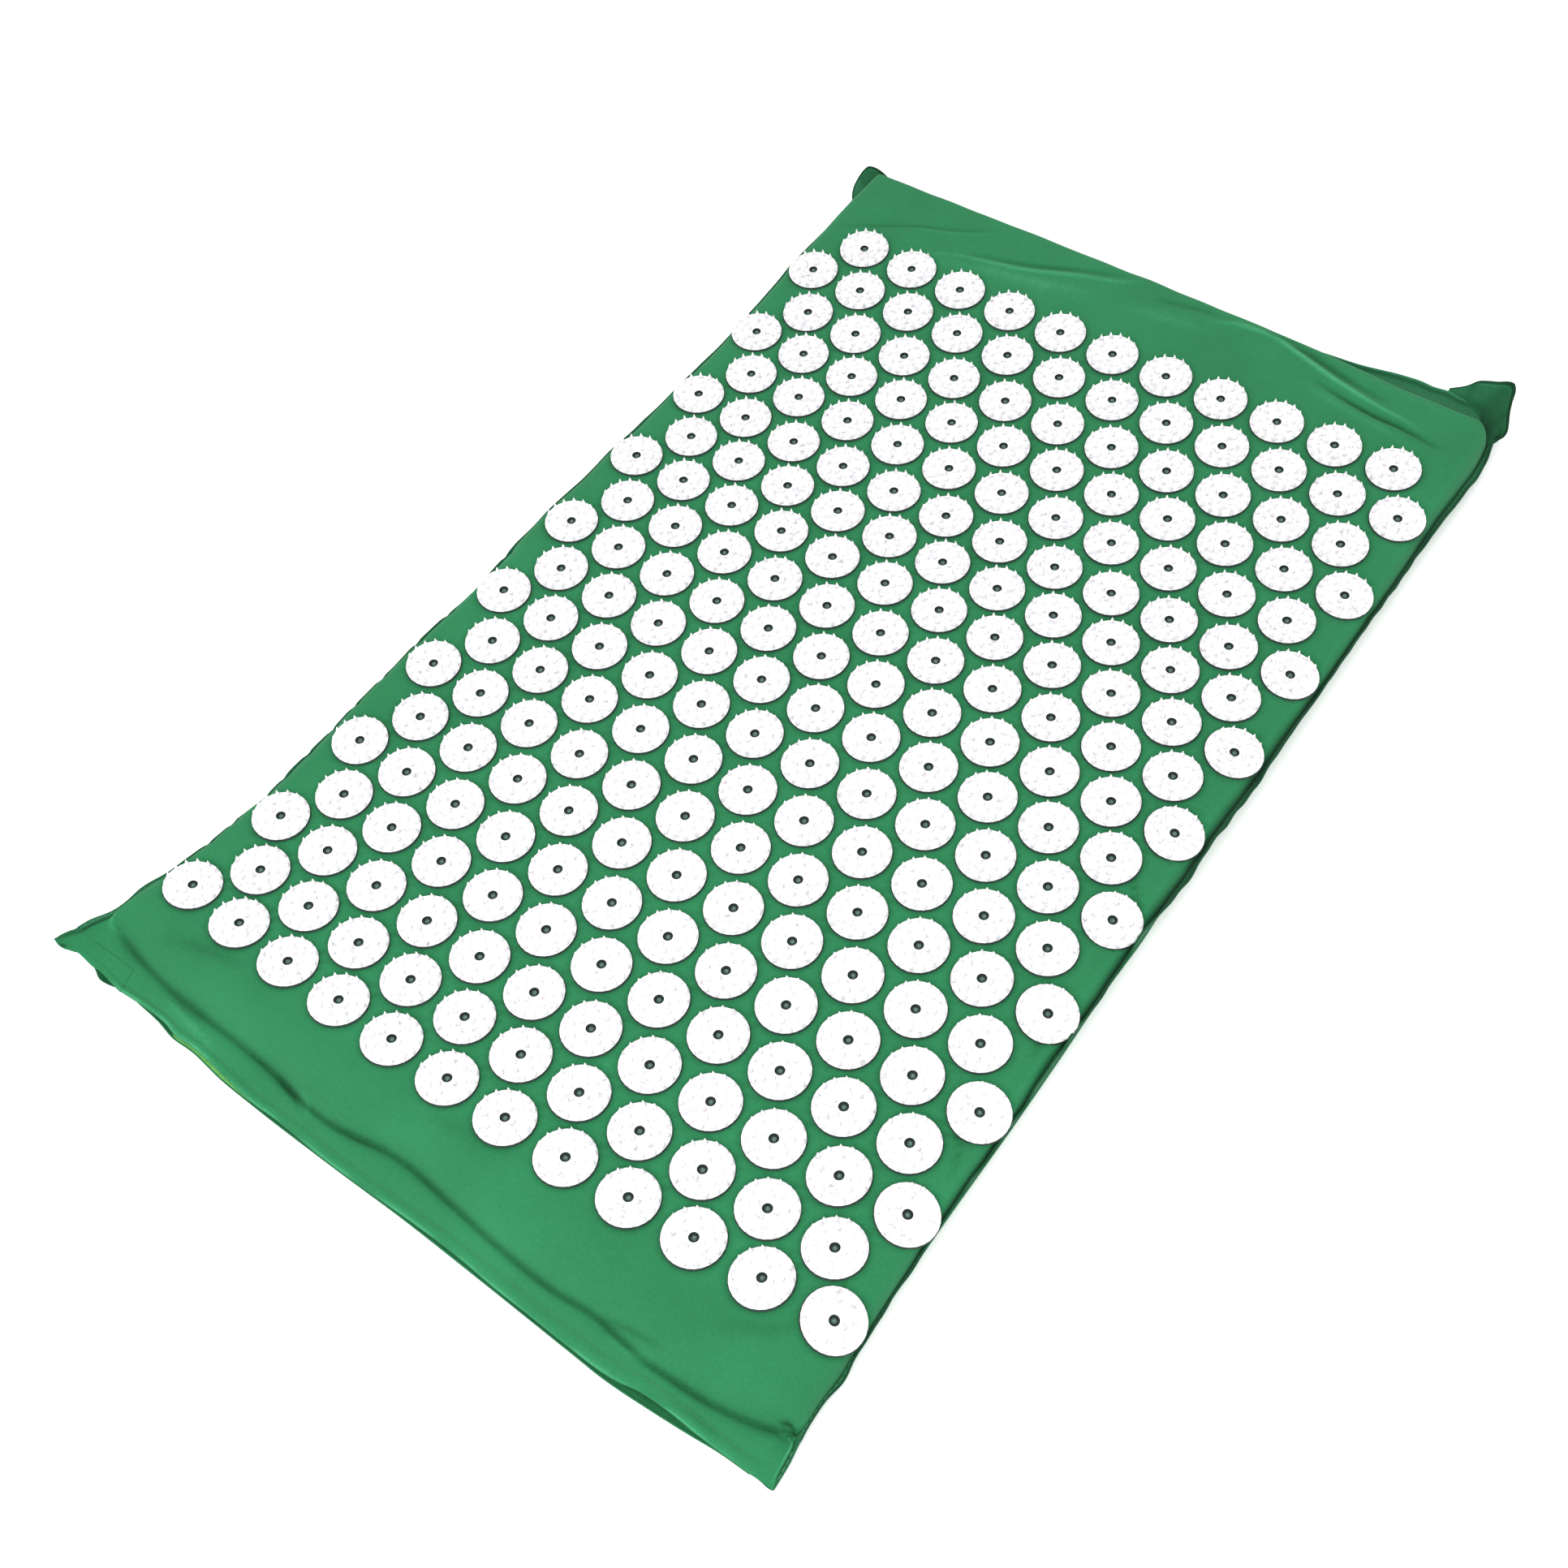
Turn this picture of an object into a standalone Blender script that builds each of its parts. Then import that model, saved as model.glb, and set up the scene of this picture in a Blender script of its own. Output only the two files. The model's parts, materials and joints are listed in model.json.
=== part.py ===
# Acupressure mat: a foam slab in a sewn cotton cover, with rows of spiked plastic discs on its top panel.
# Metres, +Z up. +Y runs along the mat to its sewn far end, and the cover's mouth is at -Y.
# The origin is on the underside, below the middle of the foam slab.

import math

import bmesh
import bpy
from mathutils import Vector

# Foam slab
FOAM_WIDTH = 0.398
FOAM_LENGTH = 0.650
FOAM_THICKNESS = 0.020
FOAM_EDGE_ROUND = 0.010

# Cover cloth and the seam where its two panels meet
CLOTH_THICKNESS = 0.0008
COVER_EASE = 0.0014
SEAM_HEIGHT = 0.0095
SEAM_WIDTH = 0.005
SEAM_THICKNESS = 0.0018
SEAM_STITCH_INSET = 0.002
THREAD_DIAMETER = 0.0007

# Mouth of the cover, closed with hook-and-loop tape
CREASE_OFFSET = 0.013
LIP_DEPTH = 0.0195
MOUTH_CORNER_WIDTH = 0.006
LIP_WAVE = 0.0016
LIP_WAVE_LENGTH = 0.056
HEM_STITCH_INSET = 0.002
TAPE_WIDTH = 0.014
TAPE_END_SETBACK = 0.0255
TAPE_THICKNESS = 0.0015
TAPE_SETBACK = 0.0035
MOUTH_EASING = 0.040

# The near left corner of the cover is dragged out sideways and lifted, and the near right one lies low
MOUTH_DRAG = 0.030
MOUTH_DRAG_REACH = 0.135
MOUTH_DRAG_POWER = 1.5
MOUTH_LEFT_LIFT = 0.020
MOUTH_RIGHT_LIFT = 0.001
MOUTH_LEFT_OUTSET = -0.006
MOUTH_RIGHT_OUTSET = 0.0045

# Corners of the far end: loose cloth that stands up on the right and lies low on the left
FAR_CORNER_WIDTH = 0.034
FAR_RIGHT_REACH = 0.016
FAR_RIGHT_LIFT = 0.019
FAR_LEFT_REACH = 0.010
FAR_LEFT_LIFT = 0.003
FAR_LEFT_OUTSET = 0.013

# Spiked discs
DISC_DIAMETER = 0.0295
DISC_PITCH = 0.0345
DISC_PLATE = 0.0018
SPIKE_HEIGHT = 0.0032
SPIKE_INSET = 0.0012
EYELET_DIAMETER = 0.0045
ROW_PITCH = 0.02946
ROW_BOW = 0.0043
FIELD_SHIFT = -0.019
WEB_THICKNESS = 0.0004

# Gap kept between pieces that touch, from the seam's middle to each panel's rim, and beside the lip that lifts
PART_GAP = 0.0003
RIM_GAP = 0.0006
LIP_SIDE_GAP = 0.0006

# Counts
ROW_COUNT = 20
LONG_ROW_DISCS = 12
DISC_SIDES = 10
EYELET_SIDES = 5
EDGE_STEPS = 4
MOUTH_STEPS = 4
LIP_STEPS = 28
CORNER_STEPS = 4

# Heights of the layers, from the floor up
FOAM_BOTTOM = CLOTH_THICKNESS + PART_GAP
FOAM_TOP = FOAM_BOTTOM + FOAM_THICKNESS
COVER_TOP = FOAM_TOP + PART_GAP + CLOTH_THICKNESS
HOOK_BOTTOM = CLOTH_THICKNESS + PART_GAP
LOOP_BOTTOM = HOOK_BOTTOM + TAPE_THICKNESS + PART_GAP
UPPER_LIP_BOTTOM = LOOP_BOTTOM + TAPE_THICKNESS + PART_GAP
CREASE_HEIGHT = UPPER_LIP_BOTTOM + CLOTH_THICKNESS

# Outline of the cover round the foam
COVER_HALF_WIDTH = FOAM_WIDTH / 2 + PART_GAP + CLOTH_THICKNESS + COVER_EASE
COVER_FAR_END = FOAM_LENGTH / 2 + PART_GAP + CLOTH_THICKNESS + COVER_EASE
CREASE_PLACE = -FOAM_LENGTH / 2 - CREASE_OFFSET
LIP_EDGE = CREASE_PLACE - LIP_DEPTH
SIDE_RUN = FOAM_EDGE_ROUND + COVER_HALF_WIDTH - FOAM_WIDTH / 2
FAR_RUN = FOAM_EDGE_ROUND + COVER_FAR_END - FOAM_LENGTH / 2
NEAR_RUN = FOAM_EDGE_ROUND + CREASE_OFFSET
LIP_HALF_WIDTH = COVER_HALF_WIDTH - MOUTH_CORNER_WIDTH
TAPE_HALF_LENGTH = LIP_HALF_WIDTH - TAPE_END_SETBACK

CLOTH_COLOUR = (0.042, 0.300, 0.118)
SEAM_COLOUR = (0.026, 0.160, 0.070)
THREAD_COLOUR = (0.020, 0.110, 0.050)
TAPE_COLOUR = (0.080, 0.360, 0.090)
FOAM_COLOUR = (0.780, 0.760, 0.660)
DISC_COLOUR = (0.860, 0.860, 0.870)


def clear_scene():
    for old in list(bpy.data.objects):
        bpy.data.objects.remove(old, do_unlink=True)


def make_material(name, colour, roughness):
    material = bpy.data.materials.new(name)
    material.use_nodes = True
    shader = material.node_tree.nodes["Principled BSDF"]
    shader.inputs["Base Color"].default_value = (*colour, 1)
    shader.inputs["Roughness"].default_value = roughness
    shader.inputs["Metallic"].default_value = 0
    return material


def add_object(name, bm, colour, roughness, smooth=True):
    mesh = bpy.data.meshes.new(name)
    bm.to_mesh(mesh)
    bm.free()
    mesh.materials.append(make_material(name, colour, roughness))
    if smooth:
        mesh.shade_smooth()
        mesh.set_sharp_from_angle(angle=math.radians(40))
    obj = bpy.data.objects.new(name, mesh)
    bpy.context.scene.collection.objects.link(obj)
    return obj


def mix(low, high, share):
    return low + (high - low) * share


def ease(share):
    share = min(max(share, 0), 1)
    return share * share * (3 - 2 * share)


def drag(x, y):
    """How far the cloth at this place is dragged sideways, towards -X, by the pull on the near left corner."""
    along = (LIP_EDGE + MOUTH_DRAG_REACH - y) / MOUTH_DRAG_REACH
    across = min(max((COVER_HALF_WIDTH - x) / (2 * COVER_HALF_WIDTH), 0), 1)
    return -MOUTH_DRAG * across * min(max(along, 0), 1) ** MOUTH_DRAG_POWER


def seam_height(y):
    """Height of the middle of the side seam: level along the foam, and down to the mouth at the near end."""
    share = ease((y - CREASE_PLACE) / MOUTH_EASING)
    return mix(CREASE_HEIGHT / 2, SEAM_HEIGHT, share)


def crossing(low, low_run, high, high_run):
    """Places from low to high, with how far a panel has risen at each: a quarter round over each run."""
    angles = [math.pi / 2 * step / EDGE_STEPS for step in range(EDGE_STEPS + 1)]
    up = [(low + low_run * (1 - math.cos(a)), math.sin(a)) for a in angles]
    down = [(high - high_run * (1 - math.cos(a)), math.sin(a)) for a in reversed(angles)]
    return up + down


def make_grid(columns, rows, place):
    """A grid of columns by rows faces, with place giving each corner's point from its column and row."""
    bm = bmesh.new()
    bmesh.ops.create_grid(bm, x_segments=columns, y_segments=rows, size=1)
    for vertex in bm.verts:
        column = round((vertex.co.x + 1) / 2 * columns)
        row = round((vertex.co.y + 1) / 2 * rows)
        vertex.co = place(column, row)
    return bm


def make_cloth(name, columns, rows, place, thickness, colour, side=-1, roughness=0.9):
    """A sheet of that thickness. Side -1 puts the thickness below the sheet, 1 above it and 0 on both sides."""
    obj = add_object(name, make_grid(columns, rows, place), colour, roughness)
    solid = obj.modifiers.new("thickness", "SOLIDIFY")
    solid.thickness = thickness
    solid.offset = side
    solid.use_even_offset = True
    return obj


# Foam slab, rounded at its edges where the cover pulls it in


def foam_stations():
    across = crossing(-FOAM_WIDTH / 2, FOAM_EDGE_ROUND, FOAM_WIDTH / 2, FOAM_EDGE_ROUND)
    along = crossing(-FOAM_LENGTH / 2, FOAM_EDGE_ROUND, FOAM_LENGTH / 2, FOAM_EDGE_ROUND)
    return across, along


def make_foam():
    across, along = foam_stations()

    def face_point(column, row, level):
        x, rise_x = across[column]
        y, rise_y = along[row]
        return Vector((x, y, mix(SEAM_HEIGHT, level, rise_x * rise_y)))

    def top(column, row):
        return face_point(column, row, FOAM_TOP)

    def underside(column, row):
        return face_point(column, row, FOAM_BOTTOM)

    columns, rows = len(across) - 1, len(along) - 1
    bm = make_grid(columns, rows, top)
    lower = make_grid(columns, rows, underside)
    bmesh.ops.reverse_faces(lower, faces=lower.faces)
    lower_mesh = bpy.data.meshes.new("foam_underside")
    lower.to_mesh(lower_mesh)
    lower.free()
    bm.from_mesh(lower_mesh)
    bpy.data.meshes.remove(lower_mesh)
    bmesh.ops.remove_doubles(bm, verts=bm.verts, dist=PART_GAP / 10)
    add_object("foam_core", bm, FOAM_COLOUR, 0.95)


# Cover panels


def panel_stations():
    """Places across and along both panels, with more of them near the mouth, where the cloth is dragged."""
    across = crossing(-COVER_HALF_WIDTH, SIDE_RUN, COVER_HALF_WIDTH, SIDE_RUN)
    along = crossing(CREASE_PLACE, NEAR_RUN, COVER_FAR_END, FAR_RUN)
    start, end = CREASE_PLACE + NEAR_RUN, LIP_EDGE + MOUTH_DRAG_REACH
    extra = [(mix(start, end, (step + 1) / MOUTH_STEPS), 1) for step in range(MOUTH_STEPS)]
    return across, along[:EDGE_STEPS + 1] + extra + along[EDGE_STEPS + 1:]


def seam_places():
    """Places along a side seam: where the panels have theirs, so that the seam follows their rims."""
    places = [y for y, rise in panel_stations()[1]]
    return [places[0] + PART_GAP] + places[1:]


def make_top_panel():
    across, along = panel_stations()

    def place(column, row):
        x, rise_x = across[column]
        y, rise_y = along[row]
        rim = mix(CREASE_HEIGHT, SEAM_HEIGHT + RIM_GAP, ease((y - CREASE_PLACE) / MOUTH_EASING))
        return Vector((x + drag(x, y), y, mix(rim, COVER_TOP, rise_x * rise_y)))

    make_cloth("cover_top_panel", len(across) - 1, len(along) - 1, place, CLOTH_THICKNESS, CLOTH_COLOUR)


def make_bottom_panel():
    across, along = panel_stations()
    middle = EDGE_STEPS + MOUTH_STEPS

    def place(column, row):
        x, rise_x = across[column]
        y, rise_y = along[row]
        if row < middle:
            rise_y = 1
        rim = (SEAM_HEIGHT - RIM_GAP) * ease((y - CREASE_PLACE) / MOUTH_EASING)
        return Vector((x + drag(x, y), y, mix(rim, 0, rise_x * rise_y)))

    make_cloth(
        "cover_bottom_panel", len(across) - 1, len(along) - 1, place, CLOTH_THICKNESS, CLOTH_COLOUR, side=1
    )


# Sewn edge of the cover: the two panels' allowances, folded and stitched together


def make_side_seam(name, side):
    places = seam_places()

    def place(column, row):
        y = places[row]
        inner = COVER_HALF_WIDTH + PART_GAP
        x = side * (inner + SEAM_WIDTH * column)
        return Vector((x + drag(side * COVER_HALF_WIDTH, y), y, seam_height(y)))

    make_cloth(name, 1, len(places) - 1, place, SEAM_THICKNESS, SEAM_COLOUR, side=0)


def make_far_seam():
    reach = COVER_HALF_WIDTH - FAR_CORNER_WIDTH

    def place(column, row):
        x = mix(-reach, reach, column)
        y = COVER_FAR_END + PART_GAP + SEAM_WIDTH * row
        return Vector((x, y, SEAM_HEIGHT))

    make_cloth("far_seam", 1, 1, place, SEAM_THICKNESS, SEAM_COLOUR, side=0)


def make_far_corner(name, side, reach, lift, outset):
    """Loose cloth at a far corner: a flap that starts at the far seam and sweeps out and up to its tip."""
    inner = COVER_HALF_WIDTH - FAR_CORNER_WIDTH + PART_GAP

    def place(column, row):
        share = column / CORNER_STEPS
        depth = row / CORNER_STEPS
        x = side * mix(inner, COVER_HALF_WIDTH + outset, share)
        root = COVER_FAR_END + SEAM_THICKNESS / 2
        y = root + (SEAM_WIDTH + reach * ease(share)) * depth
        return Vector((x, y, SEAM_HEIGHT + lift * ease(share) * depth))

    make_cloth(name, CORNER_STEPS, CORNER_STEPS, place, SEAM_THICKNESS, SEAM_COLOUR, side=0)


def make_mouth_corner(name, side, lift, outset):
    """The end of the mouth, where both lips are stitched together out to the tip."""
    inner = LIP_HALF_WIDTH + LIP_SIDE_GAP
    outer = COVER_HALF_WIDTH + SEAM_WIDTH

    def place(column, row):
        share = column / CORNER_STEPS
        depth = row / CORNER_STEPS
        y = mix(CREASE_PLACE - 2 * PART_GAP, LIP_EDGE - outset * share, depth)
        x = side * mix(inner, outer, share)
        pull = drag(side * COVER_HALF_WIDTH, y) * share
        height = CREASE_HEIGHT / 2 + lift * share * depth
        return Vector((x + pull, y, height))

    make_cloth(name, CORNER_STEPS, CORNER_STEPS, place, SEAM_THICKNESS, SEAM_COLOUR, side=0)


# Lips of the mouth and the tape between them


def lip_wave(x):
    return LIP_WAVE * (1 - math.cos(2 * math.pi * x / LIP_WAVE_LENGTH)) / 2


def make_upper_lip():
    def place(column, row):
        x = mix(-LIP_HALF_WIDTH, LIP_HALF_WIDTH, column / LIP_STEPS)
        depth = 1 - row / 2
        y = mix(CREASE_PLACE - PART_GAP, LIP_EDGE, depth)
        return Vector((x, y, CREASE_HEIGHT + lip_wave(x) * ease(depth)))

    return make_cloth("mouth_upper_lip", LIP_STEPS, 2, place, CLOTH_THICKNESS, CLOTH_COLOUR)


def make_lower_lip():
    def place(column, row):
        x = mix(-LIP_HALF_WIDTH, LIP_HALF_WIDTH, column)
        y = mix(LIP_EDGE, CREASE_PLACE - PART_GAP, row)
        return Vector((x, y, 0))

    make_cloth("mouth_lower_lip", 1, 1, place, CLOTH_THICKNESS, CLOTH_COLOUR, side=1)


def make_tape(name, bottom):
    def place(column, row):
        x = mix(-TAPE_HALF_LENGTH, TAPE_HALF_LENGTH, column)
        y = LIP_EDGE + TAPE_SETBACK + TAPE_WIDTH * row
        return Vector((x, y, bottom))

    return make_cloth(name, 1, 1, place, TAPE_THICKNESS, TAPE_COLOUR, side=1, roughness=0.95)


# Stitching: one unbroken thread along each side seam, the far seam and the upper lip's hem


def make_thread(name, points):
    curve = bpy.data.curves.new(name, "CURVE")
    curve.dimensions = "3D"
    curve.bevel_depth = THREAD_DIAMETER / 2
    curve.bevel_resolution = 0
    curve.use_fill_caps = True
    spline = curve.splines.new("POLY")
    spline.points.add(len(points) - 1)
    for point, place in zip(spline.points, points):
        point.co = (*place, 1)
    curve.materials.append(make_material(name, THREAD_COLOUR, 0.8))
    obj = bpy.data.objects.new(name, curve)
    bpy.context.scene.collection.objects.link(obj)
    return obj


def side_thread_points(side):
    above = SEAM_THICKNESS / 2 + PART_GAP + THREAD_DIAMETER / 2
    points = []
    for y in seam_places()[1:-1]:
        x = side * (COVER_HALF_WIDTH + PART_GAP + SEAM_WIDTH - SEAM_STITCH_INSET)
        points.append((x + drag(side * COVER_HALF_WIDTH, y), y, seam_height(y) + above))
    return points


def far_thread_points():
    reach = COVER_HALF_WIDTH - FAR_CORNER_WIDTH - SEAM_STITCH_INSET
    y = COVER_FAR_END + PART_GAP + SEAM_WIDTH - SEAM_STITCH_INSET
    z = SEAM_HEIGHT + SEAM_THICKNESS / 2 + PART_GAP + THREAD_DIAMETER / 2
    return [(-reach, y, z), (0, y, z), (reach, y, z)]


def hem_thread_points(height):
    points = []
    for step in range(LIP_STEPS + 1):
        x = mix(-LIP_HALF_WIDTH, LIP_HALF_WIDTH, step / LIP_STEPS)
        depth = 1 - HEM_STITCH_INSET / LIP_DEPTH
        above = PART_GAP * 2 + THREAD_DIAMETER / 2
        points.append((x, LIP_EDGE + HEM_STITCH_INSET, height + lip_wave(x) * ease(depth) + above))
    return points


# Discs: a round plate with an eyelet hole, and above it the space that its spikes fill


def disc_centre(row, place):
    """Middle of a disc. Long rows and short rows alternate, and each bows towards the far end at its ends."""
    count = LONG_ROW_DISCS - row % 2
    x = (place - (count - 1) / 2) * DISC_PITCH
    row_reach = (LONG_ROW_DISCS - 1) / 2 * DISC_PITCH
    y = (row - (ROW_COUNT - 1) / 2) * ROW_PITCH + FIELD_SHIFT + ROW_BOW * (x / row_reach) ** 2
    return Vector((x + drag(x, y), y, COVER_TOP + PART_GAP))


def add_ring(bm, centre, radius, sides, height):
    """Corners of a regular polygon, with a flat side towards +X and towards -X."""
    ring = []
    for step in range(sides):
        angle = 2 * math.pi * (step + 0.5) / sides
        offset = Vector((radius * math.cos(angle), radius * math.sin(angle), height))
        ring.append(bm.verts.new(centre + offset))
    return ring


def close_face(bm, outer, inner, upward):
    """Faces between a disc's outer ring and its eyelet's, which has a corner for each so many of the outer ones."""
    step = DISC_SIDES // EYELET_SIDES
    for corner in range(EYELET_SIDES):
        following = (corner + 1) % EYELET_SIDES
        start = corner * step
        rim = [outer[(start + along) % DISC_SIDES] for along in range(step + 1)]
        face = bm.faces.new(rim + [inner[following], inner[corner]])
        if not upward:
            face.normal_flip()


def facing_side(towards_left):
    """The two corners of a disc's ring that its web leaves from, on its -X side or on its +X side."""
    half = DISC_SIDES // 2
    return (half - 1, half) if towards_left else (DISC_SIDES - 1, 0)


def add_disc(bm, centre, webs):
    """One disc, open where its webs leave it. It gives back its lower corners and those at the webs' top."""
    radius = DISC_DIAMETER / 2
    tall = DISC_PLATE + SPIKE_HEIGHT
    bottom = add_ring(bm, centre, radius, DISC_SIDES, 0)
    top = add_ring(bm, centre, radius - SPIKE_INSET, DISC_SIDES, tall)
    hole_top = add_ring(bm, centre, EYELET_DIAMETER / 2, EYELET_SIDES, tall)
    hole_bottom = add_ring(bm, centre, EYELET_DIAMETER / 2, EYELET_SIDES, 0)
    close_face(bm, top, hole_top, upward=True)
    close_face(bm, bottom, hole_bottom, upward=False)
    for corner in range(EYELET_SIDES):
        following = (corner + 1) % EYELET_SIDES
        bm.faces.new((hole_bottom[following], hole_bottom[corner], hole_top[corner], hole_top[following]))
    web_tops = {}
    for corner in {corner for web in webs for corner in web}:
        place = bottom[corner].co.lerp(top[corner].co, WEB_THICKNESS / tall)
        web_tops[corner] = bm.verts.new(place)
    for corner in range(DISC_SIDES):
        following = (corner + 1) % DISC_SIDES
        wall = [bottom[corner], bottom[following], top[following], top[corner]]
        if (corner, following) in webs:
            wall[:2] = [web_tops[corner], web_tops[following]]
        else:
            if following in web_tops:
                wall.insert(2, web_tops[following])
            if corner in web_tops:
                wall.append(web_tops[corner])
        bm.faces.new(wall)
    return bottom, web_tops


def add_web(bm, disc, next_disc):
    """The thin web that holds a disc to the next one in its row."""
    (bottom, tops), (next_bottom, next_tops) = disc, next_disc
    near, far = facing_side(False)
    next_far, next_near = facing_side(True)
    corners = [(near, next_near), (far, next_far)]
    (low_a, low_b), (low_d, low_c) = [(bottom[i], next_bottom[j]) for i, j in corners]
    (top_a, top_b), (top_d, top_c) = [(tops[i], next_tops[j]) for i, j in corners]
    bm.faces.new((low_a, low_d, low_c, low_b))
    bm.faces.new((top_a, top_b, top_c, top_d))
    bm.faces.new((low_a, low_b, top_b, top_a))
    bm.faces.new((low_d, top_d, top_c, low_c))


def make_disc_row(row):
    bm = bmesh.new()
    count = LONG_ROW_DISCS - row % 2
    discs = []
    for place in range(count):
        webs = [facing_side(True)] if place > 0 else []
        webs += [facing_side(False)] if place < count - 1 else []
        discs.append(add_disc(bm, disc_centre(row, place), webs))
    for disc, next_disc in zip(discs, discs[1:]):
        add_web(bm, disc, next_disc)
    add_object(f"disc_row_{row + 1:02d}", bm, DISC_COLOUR, 0.35, smooth=False)


# Hinge of the mouth: the upper lip and what is sewn to it turn about the crease


def hang_on_hinge(pieces):
    hinge = bpy.data.objects.new("mouth_hinge", None)
    hinge.location = (0, CREASE_PLACE, CREASE_HEIGHT)
    bpy.context.scene.collection.objects.link(hinge)
    for piece in pieces:
        piece.parent = hinge
        piece.location = -hinge.location


clear_scene()
make_foam()
make_top_panel()
make_bottom_panel()
make_side_seam("side_seam_left", -1)
make_side_seam("side_seam_right", 1)
make_far_seam()
make_far_corner("far_corner_left", -1, FAR_LEFT_REACH, FAR_LEFT_LIFT, FAR_LEFT_OUTSET)
make_far_corner("far_corner_right", 1, FAR_RIGHT_REACH, FAR_RIGHT_LIFT, 0)
make_mouth_corner("mouth_corner_left", -1, MOUTH_LEFT_LIFT, MOUTH_LEFT_OUTSET)
make_mouth_corner("mouth_corner_right", 1, MOUTH_RIGHT_LIFT, MOUTH_RIGHT_OUTSET)
make_lower_lip()
make_tape("mouth_hook_tape", HOOK_BOTTOM)
upper_lip = make_upper_lip()
loop_tape = make_tape("mouth_loop_tape", LOOP_BOTTOM)
make_thread("side_thread_left", side_thread_points(-1))
make_thread("side_thread_right", side_thread_points(1))
make_thread("far_thread", far_thread_points())
hem_thread = make_thread("upper_hem_thread", hem_thread_points(CREASE_HEIGHT))
hang_on_hinge([upper_lip, loop_tape, hem_thread])
for disc_row in range(ROW_COUNT):
    make_disc_row(disc_row)
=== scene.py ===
import math

import bmesh
import bpy
import numpy as np
from mathutils import Matrix, Vector
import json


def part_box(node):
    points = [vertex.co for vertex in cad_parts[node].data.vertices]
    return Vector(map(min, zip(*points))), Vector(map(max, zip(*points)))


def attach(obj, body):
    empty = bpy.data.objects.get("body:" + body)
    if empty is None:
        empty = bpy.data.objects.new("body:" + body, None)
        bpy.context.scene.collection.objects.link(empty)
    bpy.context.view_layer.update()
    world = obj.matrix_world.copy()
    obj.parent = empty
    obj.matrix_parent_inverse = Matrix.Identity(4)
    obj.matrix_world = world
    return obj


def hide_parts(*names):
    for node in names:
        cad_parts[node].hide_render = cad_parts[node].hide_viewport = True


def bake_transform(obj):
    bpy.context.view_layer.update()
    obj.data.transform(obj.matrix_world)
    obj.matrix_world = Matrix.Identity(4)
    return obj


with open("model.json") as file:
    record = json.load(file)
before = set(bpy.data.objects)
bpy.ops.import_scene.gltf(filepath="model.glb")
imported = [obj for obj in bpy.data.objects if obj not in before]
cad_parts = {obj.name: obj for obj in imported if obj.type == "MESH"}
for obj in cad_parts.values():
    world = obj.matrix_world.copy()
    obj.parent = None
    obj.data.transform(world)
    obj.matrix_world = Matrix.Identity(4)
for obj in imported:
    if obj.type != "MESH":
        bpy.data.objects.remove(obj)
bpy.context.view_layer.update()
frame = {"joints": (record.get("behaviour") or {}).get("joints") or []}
mm = 0.001

# Places that the pieces share, read from the frame
_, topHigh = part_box("cover_top_panel")
foamLow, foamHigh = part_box("foam_core")
lipLow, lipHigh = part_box("mouth_upper_lip")
hookLow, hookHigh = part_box("mouth_hook_tape")
_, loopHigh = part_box("mouth_loop_tape")
seamLow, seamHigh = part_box("far_seam")
hinge = Vector(frame["joints"][0]["pos_m"])
seamLevel = (seamLow.z + seamHigh.z) / 2

# Camera at the photograph's angle
cameraSet = {
    "place": (0.40396, -0.51238, 0.86141),
    "lens": 46.944,
    "azimuth": 42.09,
    "elevation": 55.25,
    "roll": -7.746,
}


def addCamera():
    data = bpy.data.cameras.new("camera")
    data.lens = cameraSet["lens"]
    camera = bpy.data.objects.new("camera", data)
    bpy.context.scene.collection.objects.link(camera)
    turn = Matrix.Rotation(math.radians(cameraSet["azimuth"]), 4, "Z")
    tilt = Matrix.Rotation(math.radians(90 - cameraSet["elevation"]), 4, "X")
    roll = Matrix.Rotation(math.radians(cameraSet["roll"]), 4, "Z")
    camera.matrix_world = Matrix.Translation(cameraSet["place"]) @ turn @ tilt @ roll
    bpy.context.scene.camera = camera


def sightShift(points, height):
    # slides points along the camera's lines of sight to that height, where they show in the same places
    eye = np.array(cameraSet["place"])
    share = (height - eye[2]) / (points[:, 2] - eye[2])
    return eye + (points - eye) * share[:, None]


lightSet = {
    "world": (1.0, 1.0, 1.0),
    "worldStrength": 1.5,
    "keyPlace": (0.20, -0.74, 0.84),
    "keySize": 0.9,
    "keyPower": 8.3,
}


def addLight(name, place, size, power):
    data = bpy.data.lights.new(name, "AREA")
    data.size = size
    data.energy = power
    light = bpy.data.objects.new(name, data)
    bpy.context.scene.collection.objects.link(light)
    light.location = place
    light.rotation_euler = (-Vector(place)).to_track_quat("-Z", "Y").to_euler()


def addStage():
    world = bpy.data.worlds.new("studio")
    world.use_nodes = True
    background = world.node_tree.nodes["Background"]
    background.inputs["Color"].default_value = (*lightSet["world"], 1)
    background.inputs["Strength"].default_value = lightSet["worldStrength"]
    bpy.context.scene.world = world
    bpy.context.scene.view_settings.view_transform = "Standard"
    addLight("key", lightSet["keyPlace"], lightSet["keySize"], lightSet["keyPower"])
    bm = bmesh.new()
    bmesh.ops.create_grid(bm, x_segments=1, y_segments=1, size=6)
    mesh = bpy.data.meshes.new("floor")
    bm.to_mesh(mesh)
    bm.free()
    mesh.materials.append(plainMaterial("floorPaper", (0.97, 0.97, 0.97), 0.95))
    floor = bpy.data.objects.new("floor", mesh)
    bpy.context.scene.collection.objects.link(floor)


# Shader groups that several finishes share

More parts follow.
